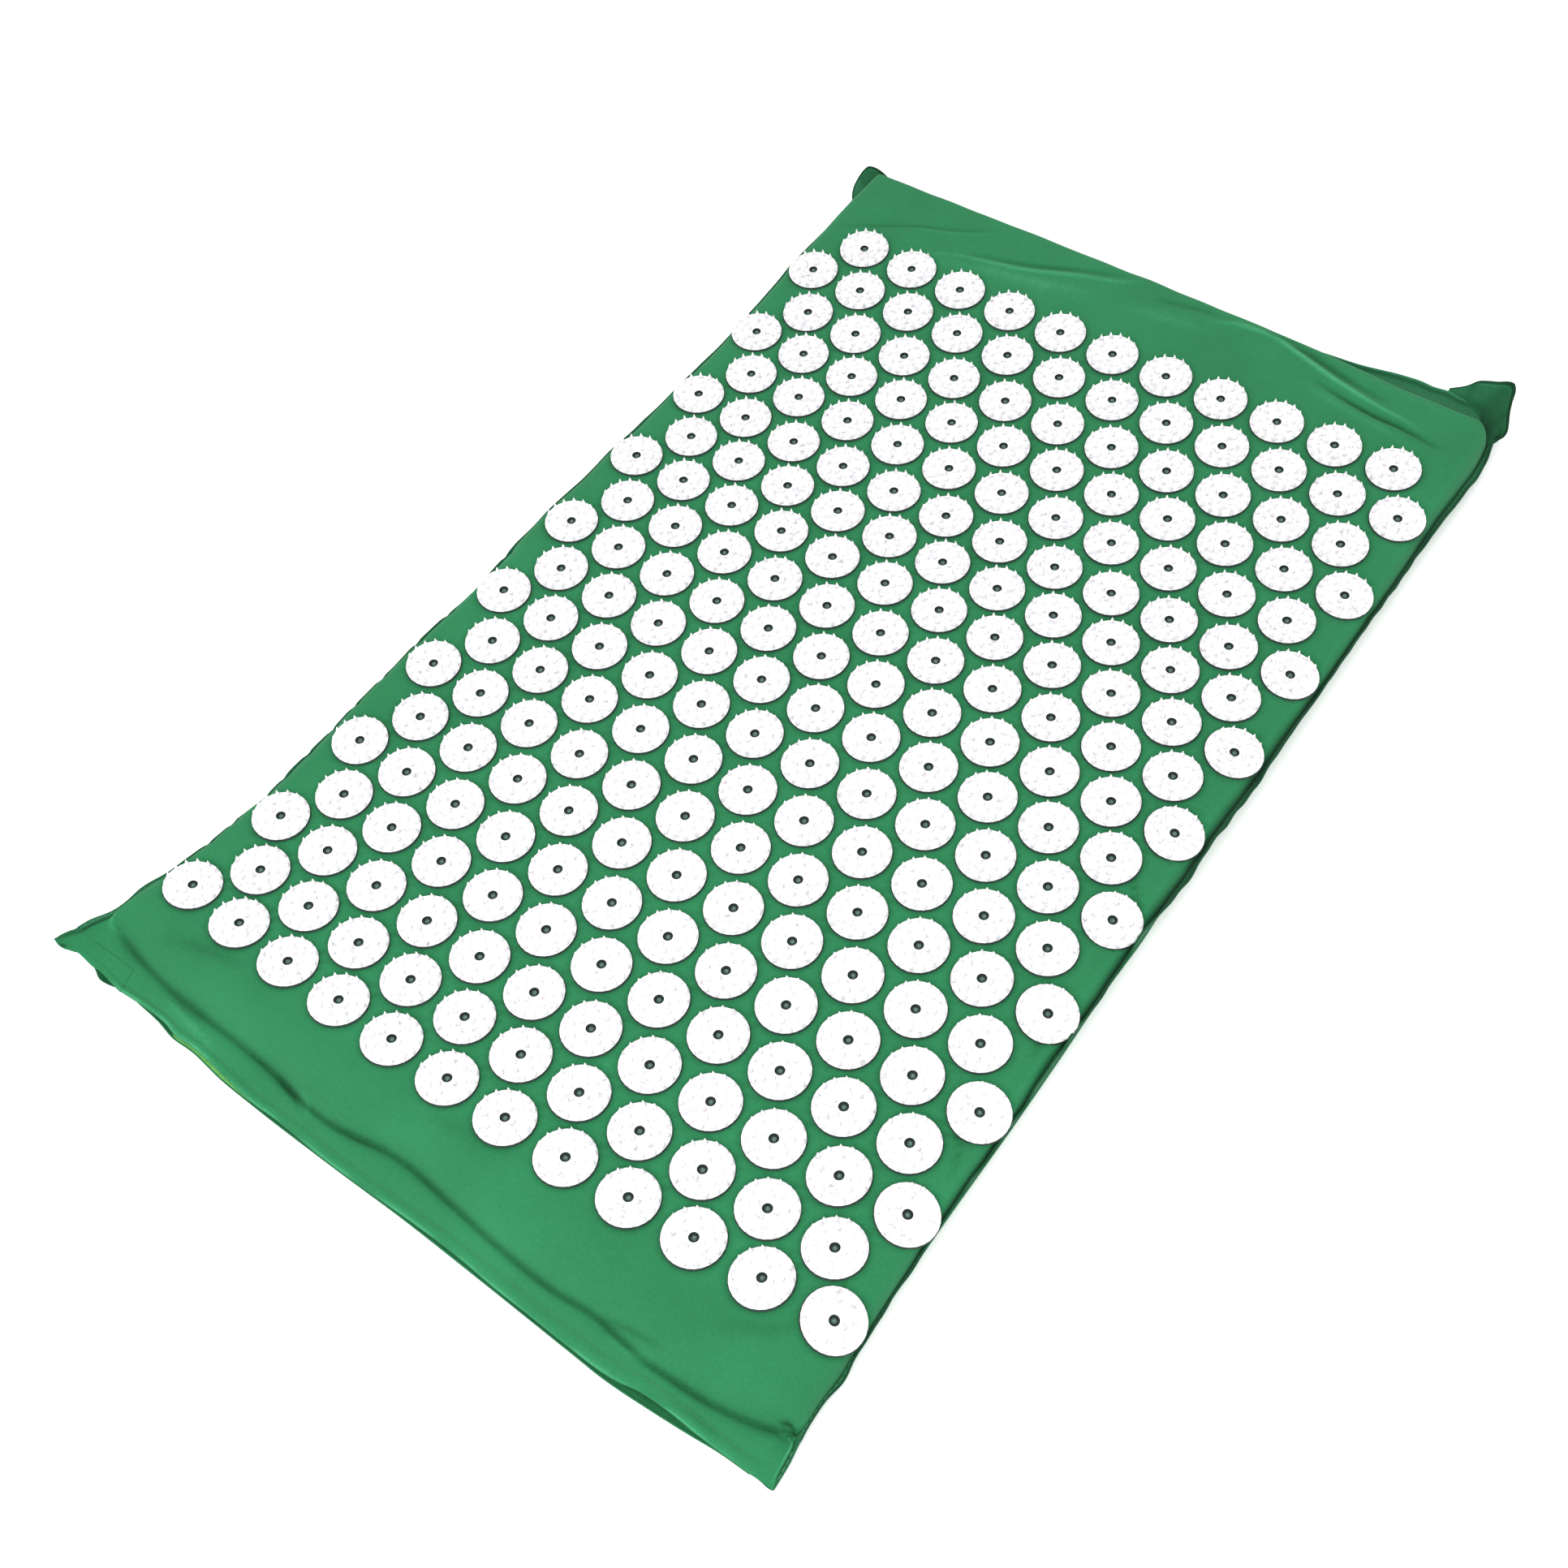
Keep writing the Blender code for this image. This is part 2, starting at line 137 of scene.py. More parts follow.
def newGroup(name, inputs, outputs):
    group = bpy.data.node_groups.new(name, "ShaderNodeTree")
    for socket, kind, value in inputs:
        made = group.interface.new_socket(socket, in_out="INPUT", socket_type=kind)
        if value is not None:
            made.default_value = value
    for socket, kind in outputs:
        group.interface.new_socket(socket, in_out="OUTPUT", socket_type=kind)
    return group, group.nodes.new("NodeGroupInput"), group.nodes.new("NodeGroupOutput")


def mathNode(tree, operation, first, second=None, third=None):
    # a Math node whose inputs are sockets or numbers
    node = tree.nodes.new("ShaderNodeMath")
    node.operation = operation
    for socket, value in zip(node.inputs, (first, second, third)):
        if value is None:
            continue
        if isinstance(value, (int, float)):
            socket.default_value = value
        else:
            tree.links.new(value, socket)
    return node.outputs[0]


def weaveGroup():
    # plain weave: warp threads and weft threads pass over each other by turns
    group, source, result = newGroup(
        "plainWeave",
        [("Place", "NodeSocketVector", None), ("Pitch", "NodeSocketFloat", 0.0006)],
        [("Height", "NodeSocketFloat"), ("Gap", "NodeSocketFloat")],
    )
    split = group.nodes.new("ShaderNodeSeparateXYZ")
    group.links.new(source.outputs["Place"], split.inputs[0])
    turn = mathNode(group, "DIVIDE", math.pi, source.outputs["Pitch"])
    across = mathNode(group, "SINE", mathNode(group, "MULTIPLY", split.outputs["X"], turn))
    along = mathNode(group, "SINE", mathNode(group, "MULTIPLY", split.outputs["Y"], turn))
    over = mathNode(group, "MULTIPLY_ADD", mathNode(group, "MULTIPLY", across, along), 0.5, 0.5)
    warp = mathNode(group, "ABSOLUTE", across)
    weft = mathNode(group, "ABSOLUTE", along)
    under = mathNode(group, "SUBTRACT", 1.0, over)
    height = mathNode(
        group, "ADD", mathNode(group, "MULTIPLY", warp, over), mathNode(group, "MULTIPLY", weft, under)
    )
    gap = mathNode(group, "SUBTRACT", 1.0, mathNode(group, "MAXIMUM", warp, weft))
    group.links.new(height, result.inputs["Height"])
    group.links.new(gap, result.inputs["Gap"])
    return group


def mottleGroup():
    # soft patches and fine specks, for dye, dust and moulding marks
    group, source, result = newGroup(
        "mottle",
        [
            ("Place", "NodeSocketVector", None),
            ("Patch Scale", "NodeSocketFloat", 30.0),
            ("Speck Scale", "NodeSocketFloat", 900.0),
        ],
        [("Patch", "NodeSocketFloat"), ("Speck", "NodeSocketFloat")],
    )
    for socket, scale, detail in (("Patch", "Patch Scale", 3.0), ("Speck", "Speck Scale", 2.0)):
        noise = group.nodes.new("ShaderNodeTexNoise")
        noise.inputs["Detail"].default_value = detail
        group.links.new(source.outputs["Place"], noise.inputs["Vector"])
        group.links.new(source.outputs[scale], noise.inputs["Scale"])
        group.links.new(noise.outputs["Fac"], result.inputs[socket])
    return group


# Materials

def startMaterial(name, roughness):
    material = bpy.data.materials.new(name)
    material.use_nodes = True
    shader = material.node_tree.nodes["Principled BSDF"]
    shader.inputs["Roughness"].default_value = roughness
    return material, material.node_tree, shader


def plainMaterial(name, colour, roughness):
    # for the floor alone
    material, tree, shader = startMaterial(name, roughness)
    shader.inputs["Base Color"].default_value = (*colour, 1)
    return material


def place(tree, coordinates):
    return tree.nodes.new("ShaderNodeTexCoord").outputs[coordinates]


def useGroup(tree, group, vector, **values):
    node = tree.nodes.new("ShaderNodeGroup")
    node.node_tree = group
    tree.links.new(vector, node.inputs["Place"])
    for name, value in values.items():
        node.inputs[name.replace("_", " ")].default_value = value
    return node


def useMottle(tree, scales):
    # scales are those of its patches and of its specks
    return useGroup(tree, mottleShader, place(tree, "Object"), Patch_Scale=scales[0], Speck_Scale=scales[1])


def colourRamp(tree, factor, stops):
    ramp = tree.nodes.new("ShaderNodeValToRGB")
    elements = ramp.color_ramp.elements
    while len(elements) < len(stops):
        elements.new(0.5)
    for element, (position, colour) in zip(elements, stops):
        element.position = position
        element.color = (*colour, 1)
    tree.links.new(factor, ramp.inputs[0])
    return ramp.outputs[0]


def addBump(tree, shader, height, strength, distance):
    bump = tree.nodes.new("ShaderNodeBump")
    bump.inputs["Strength"].default_value = strength
    bump.inputs["Distance"].default_value = distance
    tree.links.new(height, bump.inputs["Height"])
    tree.links.new(bump.outputs[0], shader.inputs["Normal"])


cottonSet = {
    # the crease tone is painted shade for creases and hollows, the paintedLight tone a painted highlight for
    # fold tops and rims; dark and light are the dye's drift
    "crease": (0.0020, 0.048, 0.0140),
    "dark": (0.0121, 0.117, 0.0437),
    "light": (0.0164, 0.152, 0.059),
    "paintedLight": (0.053, 0.280, 0.136),
    "stops": ((0.05, "crease"), (0.37, "dark"), (0.56, "light"), (0.95, "paintedLight")),
    "scales": (22.0, 700.0),
    "patchShare": 0.55,
    "speckShare": 0.45,
    "gapShade": -0.25,
    "contrast": 0.5,
    "middle": 0.25,
    "paintedShadingShare": 0.5,
    "smoothest": 0.80,
    "speckRoughness": 0.14,
    "sheen": 0.03,
    "sheenRoughness": 0.5,
    "specular": 0.15,
    "pitch": 0.55 * mm,
    "relief": (0.35, 0.12 * mm),
}


def cottonMaterial(name, darker=1.0):
    # woven green cotton: its colour drifts softly, the weave's gaps get painted shade, and the paintedShading
    # attribute paints highlights on folded edges and shade in creases
    material, tree, shader = startMaterial(name, 0.88)
    mottle = useMottle(tree, cottonSet["scales"])
    weave = useGroup(tree, weaveShader, place(tree, "UV"), Pitch=cottonSet["pitch"])
    paintedShading = tree.nodes.new("ShaderNodeAttribute")
    paintedShading.attribute_name = "paintedShading"
    blend = mathNode(tree, "MULTIPLY_ADD", mottle.outputs["Patch"], cottonSet["patchShare"], 0.0)
    blend = mathNode(tree, "MULTIPLY_ADD", mottle.outputs["Speck"], cottonSet["speckShare"], blend)
    blend = mathNode(tree, "MULTIPLY_ADD", weave.outputs["Gap"], cottonSet["gapShade"], blend)
    blend = mathNode(tree, "MULTIPLY_ADD", blend, cottonSet["contrast"], cottonSet["middle"])
    # paintedShading above 0 paints highlights, below 0 paints shade
    blend = mathNode(tree, "MULTIPLY_ADD", paintedShading.outputs["Fac"], cottonSet["paintedShadingShare"], blend)
    stops = [(at, tuple(darker * c for c in cottonSet[tone])) for at, tone in cottonSet["stops"]]
    tree.links.new(colourRamp(tree, blend, stops), shader.inputs["Base Color"])
    smoothest, rougher = cottonSet["smoothest"], cottonSet["speckRoughness"]
    rough = mathNode(tree, "MULTIPLY_ADD", mottle.outputs["Speck"], rougher, smoothest)
    tree.links.new(rough, shader.inputs["Roughness"])
    shader.inputs["Sheen Weight"].default_value = cottonSet["sheen"]
    shader.inputs["Sheen Roughness"].default_value = cottonSet["sheenRoughness"]
    shader.inputs["Specular IOR Level"].default_value = cottonSet["specular"]
    addBump(tree, shader, weave.outputs["Height"], *cottonSet["relief"])
    return material


def mottledMaterial(name, roughness, scales, follows, stops, relief=None):
    # its colour follows the patches or the specks. relief is the strength and the depth of the specks' bumps
    material, tree, shader = startMaterial(name, roughness)
    mottle = useMottle(tree, scales)
    tree.links.new(colourRamp(tree, mottle.outputs[follows], stops), shader.inputs["Base Color"])
    if relief:
        addBump(tree, shader, mottle.outputs["Speck"], *relief)
    return material, tree, shader, mottle


def threadMaterial(name):
    # sewing thread, whose specks stand for its twist
    stops = [(0.3, (0.008, 0.095, 0.034)), (0.7, (0.016, 0.150, 0.056))]
    material, _, shader, _ = mottledMaterial(
        name, roughness=0.7, scales=(60.0, 2500.0), follows="Speck", stops=stops, relief=(0.5, 0.1 * mm)
    )
    shader.inputs["Sheen Weight"].default_value = 0.1
    return material


def tapeMaterial(name, colour, specks, strength):
    # hook-and-loop tape in a yellower green: bristly hooks or matted loops
    stops = [(0.35, tuple(0.55 * c for c in colour)), (0.65, colour)]
    relief = (strength, 0.4 * mm)
    return mottledMaterial(
        name, roughness=0.8, scales=(90.0, specks), follows="Speck", stops=stops, relief=relief
    )[0]


def foamMaterial():
    # open-cell foam: small round pits in a cream body
    material, tree, shader = startMaterial("foamCells", 0.95)
    cells = tree.nodes.new("ShaderNodeTexVoronoi")
    cells.inputs["Scale"].default_value = 900.0
    tree.links.new(place(tree, "Object"), cells.inputs["Vector"])
    stops = [(0.1, (0.62, 0.58, 0.46)), (0.6, (0.80, 0.77, 0.66))]
    tree.links.new(colourRamp(tree, cells.outputs["Distance"], stops), shader.inputs["Base Color"])
    addBump(tree, shader, cells.outputs["Distance"], 0.6, 0.3 * mm)
    return material


def discMaterial():
    # white moulded plastic with faint grey and warm mottling
    stops = [(0.30, (0.46, 0.44, 0.47)), (0.42, (0.61, 0.60, 0.62)), (0.62, (0.69, 0.70, 0.695))]
    material, tree, shader, mottle = mottledMaterial(
        "whitePlastic", roughness=0.42, scales=(420.0, 1500.0), follows="Patch", stops=stops,
        relief=(0.12, 0.08 * mm),
    )
    rough = mathNode(tree, "MULTIPLY_ADD", mottle.outputs["Speck"], 0.25, 0.32)
    tree.links.new(rough, shader.inputs["Roughness"])
    shader.inputs["Subsurface Weight"].default_value = 0.45
    shader.inputs["Subsurface Radius"].default_value = (1, 1, 1)
    shader.inputs["Subsurface Scale"].default_value = 2.5 * mm
    return material


def eyeletMaterial():
    # the greyer end of the stake that holds a disc
    stops = [(0.3, (0.035, 0.070, 0.060)), (0.7, (0.070, 0.120, 0.105))]
    return mottledMaterial(
        "eyeletStake", roughness=0.55, scales=(800.0, 3000.0), follows="Patch", stops=stops,
        relief=(0.3, 0.1 * mm),
    )[0]


def paintedShadowMaterial():
    # near-black painted shadow, for the hole round the stake, its wall and the dark foot ring under a disc's
    # rim
    stops = [(0.3, (0.006, 0.014, 0.011)), (0.7, (0.016, 0.032, 0.026))]
    return mottledMaterial("paintedEyeletShadow", roughness=0.9, scales=(900.0, 3000.0), follows="Patch", stops=stops)[0]


# Mesh helpers

def newPiece(name, bm, materials, smoothAngle=50):
    mesh = bpy.data.meshes.new(name)
    bm.to_mesh(mesh)
    bm.free()
    for material in materials:
        mesh.materials.append(material)
    mesh.shade_smooth()
    mesh.set_sharp_from_angle(angle=math.radians(smoothAngle))
    piece = bpy.data.objects.new(name, mesh)
    bpy.context.scene.collection.objects.link(piece)
    return piece


def gridPiece(name, columns, rows, shape, materials, thickness=0.0, side=-1.0, paintedShading=None):
    # a cloth grid. shape gives the points from arrays of columns and rows, and paintedShading how much painted
    # highlight or painted shade each one gets.
    # The UV map is in metres along the cloth
    bm = bmesh.new()
    bmesh.ops.create_grid(bm, x_segments=columns, y_segments=rows, size=1)
    piece = newPiece(name, bm, materials, smoothAngle=180)
    mesh = piece.data
    unit = np.zeros(len(mesh.vertices) * 3)
    mesh.vertices.foreach_get("co", unit)
    unit = unit.reshape(-1, 3)
    column = np.rint((unit[:, 0] + 1) / 2 * columns).astype(int)
    row = np.rint((unit[:, 1] + 1) / 2 * rows).astype(int)
    points = shape(column, row)
    mesh.vertices.foreach_set("co", points.ravel())
    ordered = np.zeros((rows + 1, columns + 1, 3))
    ordered[row, column] = points
    across = np.cumsum(np.linalg.norm(np.diff(ordered[rows // 2], axis=0), axis=1))
    along = np.cumsum(np.linalg.norm(np.diff(ordered[:, columns // 2], axis=0), axis=1))
    flat = np.c_[np.r_[0, across][column], np.r_[0, along][row]]
    corners = np.zeros(len(mesh.loops), int)
    mesh.loops.foreach_get("vertex_index", corners)
    layer = mesh.uv_layers.new(name="cloth")
    layer.data.foreach_set("uv", flat[corners].ravel())
    if paintedShading is not None:
        mesh.attributes.new("paintedShading", "FLOAT", "POINT").data.foreach_set("value", paintedShading(column, row))
    ends = np.zeros(len(mesh.edges) * 2, int)
    mesh.edges.foreach_get("vertices", ends)
    first, second = ends.reshape(-1, 2).T
    border = (column[first] == column[second]) & np.isin(column[first], (0, columns))
    border |= (row[first] == row[second]) & np.isin(row[first], (0, rows))
    mesh.edges.foreach_set("use_edge_sharp", border)
    mesh.update()
    if thickness:
        solid = piece.modifiers.new("thickness", "SOLIDIFY")
        solid.thickness = thickness
        solid.offset = side
    return piece


def applyModifiers(piece):
    graph = bpy.context.evaluated_depsgraph_get()
    done = bpy.data.meshes.new_from_object(piece.evaluated_get(graph))
    piece.modifiers.clear()
    piece.data = done


def declare(piece, node):
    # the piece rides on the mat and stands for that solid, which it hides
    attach(piece, "mat")
    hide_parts(node)
    return piece


def ease(share):
    # from 0 to 1 with a soft start and a soft end
    share = np.clip(share, 0, 1)
    return share * share * (3 - 2 * share)


def bell(values, centre, width):
    # 1 at the centre, fading to 0 on both sides of it
    return np.exp(-(((values - centre) / width) ** 2))


def curveThrough(places, at):
    # a smooth line through a few chosen places, by the first number of each
    xs, ys = np.array(places, float).T
    slopes = np.gradient(ys, xs)
    at = np.clip(at, xs[0], xs[-1])
    i = np.clip(np.searchsorted(xs, at, side="right") - 1, 0, len(xs) - 2)
    step = xs[i + 1] - xs[i]
    t = (at - xs[i]) / step
    start = ys[i] * (1 + 2 * t) * (1 - t) ** 2 + slopes[i] * step * t * (1 - t) ** 2
    end = ys[i + 1] * t * t * (3 - 2 * t) + slopes[i + 1] * step * t * t * (t - 1)
    return start + end


def ripple(values, seed, wavelength, count=5):
    # an irregular wave of height about 1 along one direction
    draw = np.random.default_rng(seed)
    total = np.zeros_like(values, float)
    for _ in range(count):
        length = wavelength * draw.uniform(0.6, 1.7)
        total = total + np.sin(2 * math.pi * values / length + draw.uniform(0, 2 * math.pi))
    return total / math.sqrt(count)


# Shape of the cover

coverSet = {
    "foamRound": 6 * mm,        # how far in the slab's edge is rounded
    "edgePower": 3.6,           # squareness of that round along the far end
    "sidePower": 2.5,           # and along the sides
    "cornerRound": 9 * mm,      # round of the far right corner, seen from above
    "softCorner": 26 * mm,      # the cloth slopes down over this far beside the near right corner
    "nearRound": 25 * mm,       # the same at the near end, above the crease
    "pull": 30 * mm,            # drag of the near left corner
    "pullReach": 135 * mm,
    "pullPower": 1.5,
    # how far the far edge is pulled out past its seam, at places across, in mm
    "farPull": [(-202, 0.0), (-170, 1.2), (-120, 2.0), (40, 2.0), (100, 0.5), (150, -2.6), (202, -3.2)],
    "nearSwell": 5.0 * mm,      # the near end lies a little high, most at the left
    "nearSwellAt": (-0.365, 0.062),
    "farSwell": 3.0 * mm,
    "valley": 0.8 * mm,
    "valleyAt": (0.10, 0.06),
    "field": (-0.305, 0.262),   # where the mesh changes to the rows of the disc field, and back
    # how far the loose cloth stands out past its cut, at places along each side, in mm
    "leftSlack": [
        (-338, 3.1), (-331, 2.4), (-324, 1.2), (-314, 2.2), (-305, 3.2), (-290, 3.8), (-275, 5.5), (-260, 6.9),
        (-245, 8.1), (-230, 7.4), (-215, 6.9), (-185, 6.8), (-150, 8.1), (-120, 7.5), (-95, 6.3), (-70, 5.4),
        (-50, 4.6), (-20, 7.2), (0, 7.4), (30, 5.4), (55, 5.9), (75, 3.8), (100, 4.0), (135, 2.8), (165, 2.9),
        (190, 4.0), (220, 5.3), (255, 6.6), (285, 7.8), (300, 7.6), (315, 6.4), (328, 5.4),
    ],
    "rightSlack": [
        (-338, 3.0), (-330, 2.8), (-322, 2.4), (-308, 3.2), (-290, 2.6), (-250, 2.0), (-200, 2.2), (-125, 2.2),
        (-84, 1.6), (-56, 2.2), (-28, 1.4), (0, 2.0), (40, 2.4), (84, 3.6), (120, 4.0), (165, 4.4), (196, 4.2),
        (224, 3.6), (250, 3.2), (280, 3.8), (308, 3.6), (320, 2.4), (328, 1.0),
    ],
    "pinches": (-264, -248, -226.5, -212.8, -194.6, -176, -158, -136, -108, -84, -60, -35),
    "pinch": 0.9 * mm,
    "pinchRun": 2.2 * mm,
    "looseEdge": 24 * mm,       # the slack starts this far inside the sides
    "leftLift": 95 * mm,        # run over which the left rim climbs to the lifted corner
    "rightLift": 60 * mm,
    "settle": 45 * mm,          # run over which the rim goes over from the crease to the side
    "rimGap": 1.8 * mm,         # the bottom panel's rim lies this far below the top panel's
    "grooveFade": (-0.220, 0.014),
    "thickness": 0.8 * mm,
}

# Painted light on the cover: how much painted highlight or painted shade each part gets. Above 0 it is paler
paintedShadingSet = {
    "fold": 0.5,
    "hook": 0.9,
    "groove": -0.55,
    "grooveWidth": 1.4 * mm,
    "edge": 0.10,
    "wall": -0.15,
    "farWall": -0.55,
    "farLeft": -0.35,
    "disc": -0.36,
}
coverHalf = topHigh.x
farEnd = topHigh.y
creaseY = hinge.y
lipEdge = lipLow.y

# The crease of the mouth and its groove: place along it, and height above the hinge or place across, in mm
creaseLine = {
    "height": [
        (-229, 16.2), (-214, 11.8), (-200, 8.5), (-170, 6.5), (-130, 6.0), (-98, 4.5), (-66, 6.5), (-30, 5.0),
        (10, 5.5), (60, 7.0), (110, 7.5), (150, 6.5), (180, 4.0), (195, 2.5), (206, 1.0),
    ],
    "groove": [
        (-226, -323), (-205, -329.5), (-180, -334), (-150, -336), (-115, -337.5), (-92, -339.5), (-73, -343),
        (-60, -343.5), (-45, -341.5), (-28, -339), (-12, -338.6), (16, -341.5), (50, -345.4), (80, -347),
        (105, -346), (118, -347.5), (130, -349), (150, -348.6), (166, -347.6), (181, -345), (192, -341.6),
        (198, -339.2), (206, -336.5),
    ],
}


def drag(x, y):
    along = (lipEdge + coverSet["pullReach"] - y) / coverSet["pullReach"]
    across = np.clip((coverHalf - x) / (2 * coverHalf), 0, 1)
    return -coverSet["pull"] * across * np.clip(along, 0, 1) ** coverSet["pullPower"]


def coverPlace(x, y):
    # where a place on the cover comes to lie, once its corner is dragged out and its sides hang loose
    left, right = [curveThrough(coverSet[side], y / mm) * mm for side in ("leftSlack", "rightSlack")]
    for pinch in coverSet["pinches"]:
        left = left - coverSet["pinch"] * bell(y, pinch * mm, coverSet["pinchRun"])
    out = ease((np.abs(x) - coverHalf + coverSet["looseEdge"]) / coverSet["looseEdge"])
    return x + drag(x, y) + np.where(x < 0, -left, right) * out


cornerLeft, cornerRight = coverPlace(np.array([-coverHalf, coverHalf]), np.full(2, creaseY))


def swell(x, y):
    # how far the top lies above or below its flat level
    near = coverSet["nearSwell"] * bell(y, *coverSet["nearSwellAt"]) * (0.62 - 0.38 * x / coverHalf)
    far = coverSet["farSwell"] * ease((y - 0.17) / 0.16)
    return near + far - coverSet["valley"] * bell(y, *coverSet["valleyAt"])


# Folds read from the photograph: places along each, height and width in mm. Heights below 0 are creases
folds = {
    "farFine": ([(-204, 270), (-170, 290), (-151, 299), (-130, 307), (-110, 317)], -0.7, 1.3),
    "farFinePale": ([(-160, 293), (-146, 298), (-128, 304), (-110, 314)], 0.4, 1.2),
    "farLong": (
        [(-141, 279), (-122, 287), (-105, 291), (-86, 295), (-63, 303), (-36, 311.5), (-11, 321)], 0.9, 1.4,
    ),
    "farLongShade": ([(-118, 292), (-93, 298), (-78, 302.5), (-52, 311.5), (-20, 322)], -1.0, 1.7),
    "farBlend": ([(-140, 275), (-105, 284), (-60, 293), (-30, 299)], 0.5, 5.0),
    "farMiddle": ([(-4, 312), (16, 316), (39, 320)], -0.7, 2.0),
    "farMiddleLow": ([(-20, 300), (10, 303), (40, 306)], 0.4, 4.0),
    "farRight": (
        [(30, 312), (48, 318), (71, 320), (89, 315.5), (112, 309), (141, 303), (160, 300), (176, 297)],
        1.6, 1.5,
    ),
    "farRightBack": ([(64, 323), (82, 321), (104, 316.5), (126, 312), (150, 308)], -1.3, 2.2),
    "farRightShade": (
        [(104, 303), (132, 297.2), (146, 295.3), (160, 294.6), (173, 293), (189, 289.5)], -1.7, 1.5,
    ),
    "farRightLow": ([(96, 298), (130, 291), (160, 287), (180, 283)], 0.5, 3.0),
    "farEdgeRise": ([(108, 321), (142, 320), (178, 320), (190, 319)], 0.4, 1.2),
    "rightPucker": ([(180, -28), (188, -37), (195, -45), (198, -56)], -0.9, 1.5),
    "rightPuckerNear": ([(178, -112), (186, -120), (194, -131), (198, -143)], -0.9, 1.5),
    "rightPuckerLow": ([(182, -184), (193, -196), (198, -210)], -0.7, 1.5),
    "rightPuckerFar": ([(184, 60), (192, 50), (198, 38)], -0.6, 1.5),
    "nearLeft": ([(-190, -318), (-165, -312), (-140, -308)], -0.5, 4.0),
    "nearMiddle": ([(-20, -318), (15, -311), (40, -308)], -0.4, 5.0),
    "nearRight": ([(150, -322), (172, -310), (186, -296)], -0.5, 4.0),
}

# The crease that hooks round the near right corner, and the fold where the near left corner begins
nearHook = {
    "hook": ([(194.5, -338.6), (196.5, -336.9), (199, -335.8), (201.5, -336.4), (203.6, -337.6)], -1.0, 0.8),
    "leftRim": ([(-219.8, -315), (-221.6, -321), (-221.0, -325), (-218.6, -327.6), (-213, -328.6)], 0.6, 0.9),
}


def foldHeight(x, y, lines):
    # how far the folds nearest a place raise the cloth. Each fades out at its two ends
    total = np.zeros_like(x, float)
    for line, height, width in lines.values():
        line = np.array(line) * mm
        nearest = np.full_like(x, 1.0)
        share = np.zeros_like(x)
        lengths = np.r_[0, np.cumsum(np.linalg.norm(np.diff(line, axis=0), axis=1))]
        for i in range(len(line) - 1):
            a, run = line[i], line[i + 1] - line[i]
            t = np.clip(((x - a[0]) * run[0] + (y - a[1]) * run[1]) / (run @ run), 0, 1)
            away = np.hypot(x - a[0] - t * run[0], y - a[1] - t * run[1])
            closer = away < nearest
            nearest = np.where(closer, away, nearest)
            here = (lengths[i] + t * (lengths[i + 1] - lengths[i])) / lengths[-1]
            share = np.where(closer, here, share)
        taper = np.sin(math.pi * np.clip(share, 0, 1)) ** 0.7
        total = total + height * mm * taper * bell(nearest, 0, width * mm)
    return total


def creaseHeight(x):
    # height of the cloth above the hinge, along the crease of the mouth
    return hinge.z + curveThrough(creaseLine["height"], x / mm) * mm


def grooveAt(x):
    return curveThrough(creaseLine["groove"], x / mm) * mm


def sideHeight(side, y):
    # height of the cover's rim along the side seam of one side, below 0 for the left
    level = seamLevel + 0.6 * mm + 0.7 * mm * ripple(y, 11 if side < 0 else 12, 90 * mm)
    start = creaseHeight(cornerLeft if side < 0 else cornerRight)
    reach = coverSet["leftLift" if side < 0 else "rightLift"]
    return start + (level - start) * ease((y - creaseY) / reach)


def rimHeight(x, y):
    return np.where(x < 0, sideHeight(-1, y), sideHeight(1, y))


def roundDown(half, run, steps, power):
    # places and heights, as shares, over the rounded edge from the top down to the rim
    angles = np.linspace(0, math.pi / 2, steps + 1)
    out = half - run + run * np.sin(angles) ** (2 / power)
    return np.clip(out, 0, half), np.cos(angles) ** (2 / power)


def riseAt(out, half, run, power):
    share = np.clip((np.abs(out) - half + run) / run, 0, 1)
    return (1 - share ** power) ** (1 / power)


def acrossStations():
    run = coverSet["foamRound"] + coverHalf - foamHigh.x
    out, rise = roundDown(coverHalf, run, 11, coverSet["sidePower"])
    middle = np.linspace(-(coverHalf - run), coverHalf - run, 176)
    x = np.r_[-out[::-1], middle[1:-1], out]
    return x, np.r_[rise[::-1], np.ones(len(middle) - 2), rise]


def alongStations():
    run = coverSet["foamRound"] + farEnd - foamHigh.y
    out, rise = roundDown(farEnd, run, 11, coverSet["edgePower"])
    fieldNear, fieldFar = coverSet["field"]
    near = np.linspace(creaseY, fieldNear, 33)
    field = np.linspace(fieldNear, fieldFar, 152)
    strip = np.linspace(fieldFar, farEnd - run, 46)
    y = np.r_[near, field[1:], strip[1:-1], out]
    return y, np.r_[np.ones(len(y) - len(rise)), rise]


acrossX, acrossRise = acrossStations()
alongY, alongRise = alongStations()


def mouthRise(x, y):
    # the near end's round: from the groove of the mouth up to the top
    return 1 - (1 - np.clip((y - grooveAt(x)) / coverSet["nearRound"], 0, 1)) ** 2.2


def lipSlope(x, y):
    # from the groove the cloth slopes down to the upper lip's rim, and puffs up a little on its way
    rimY = curveThrough(mouthSet["upperRim"], x / mm) * mm
    rimZ = curveThrough(mouthSet["upperHeight"], x / mm) * mm
    out = np.clip((grooveAt(x) - y) / (grooveAt(x) - rimY), 0, 1)
    puff = mouthSet["puff"] * np.sin(math.pi * out) * (1 + 0.5 * ripple(x, 41, 60 * mm))
    return (rimZ - creaseHeight(x)) * (0.7 * out + 0.3 * ease(out)) + puff


def grooveFade(x):
    # the groove runs out towards the near left corner
    start, run = coverSet["grooveFade"]
    return ease((x - start) / run)


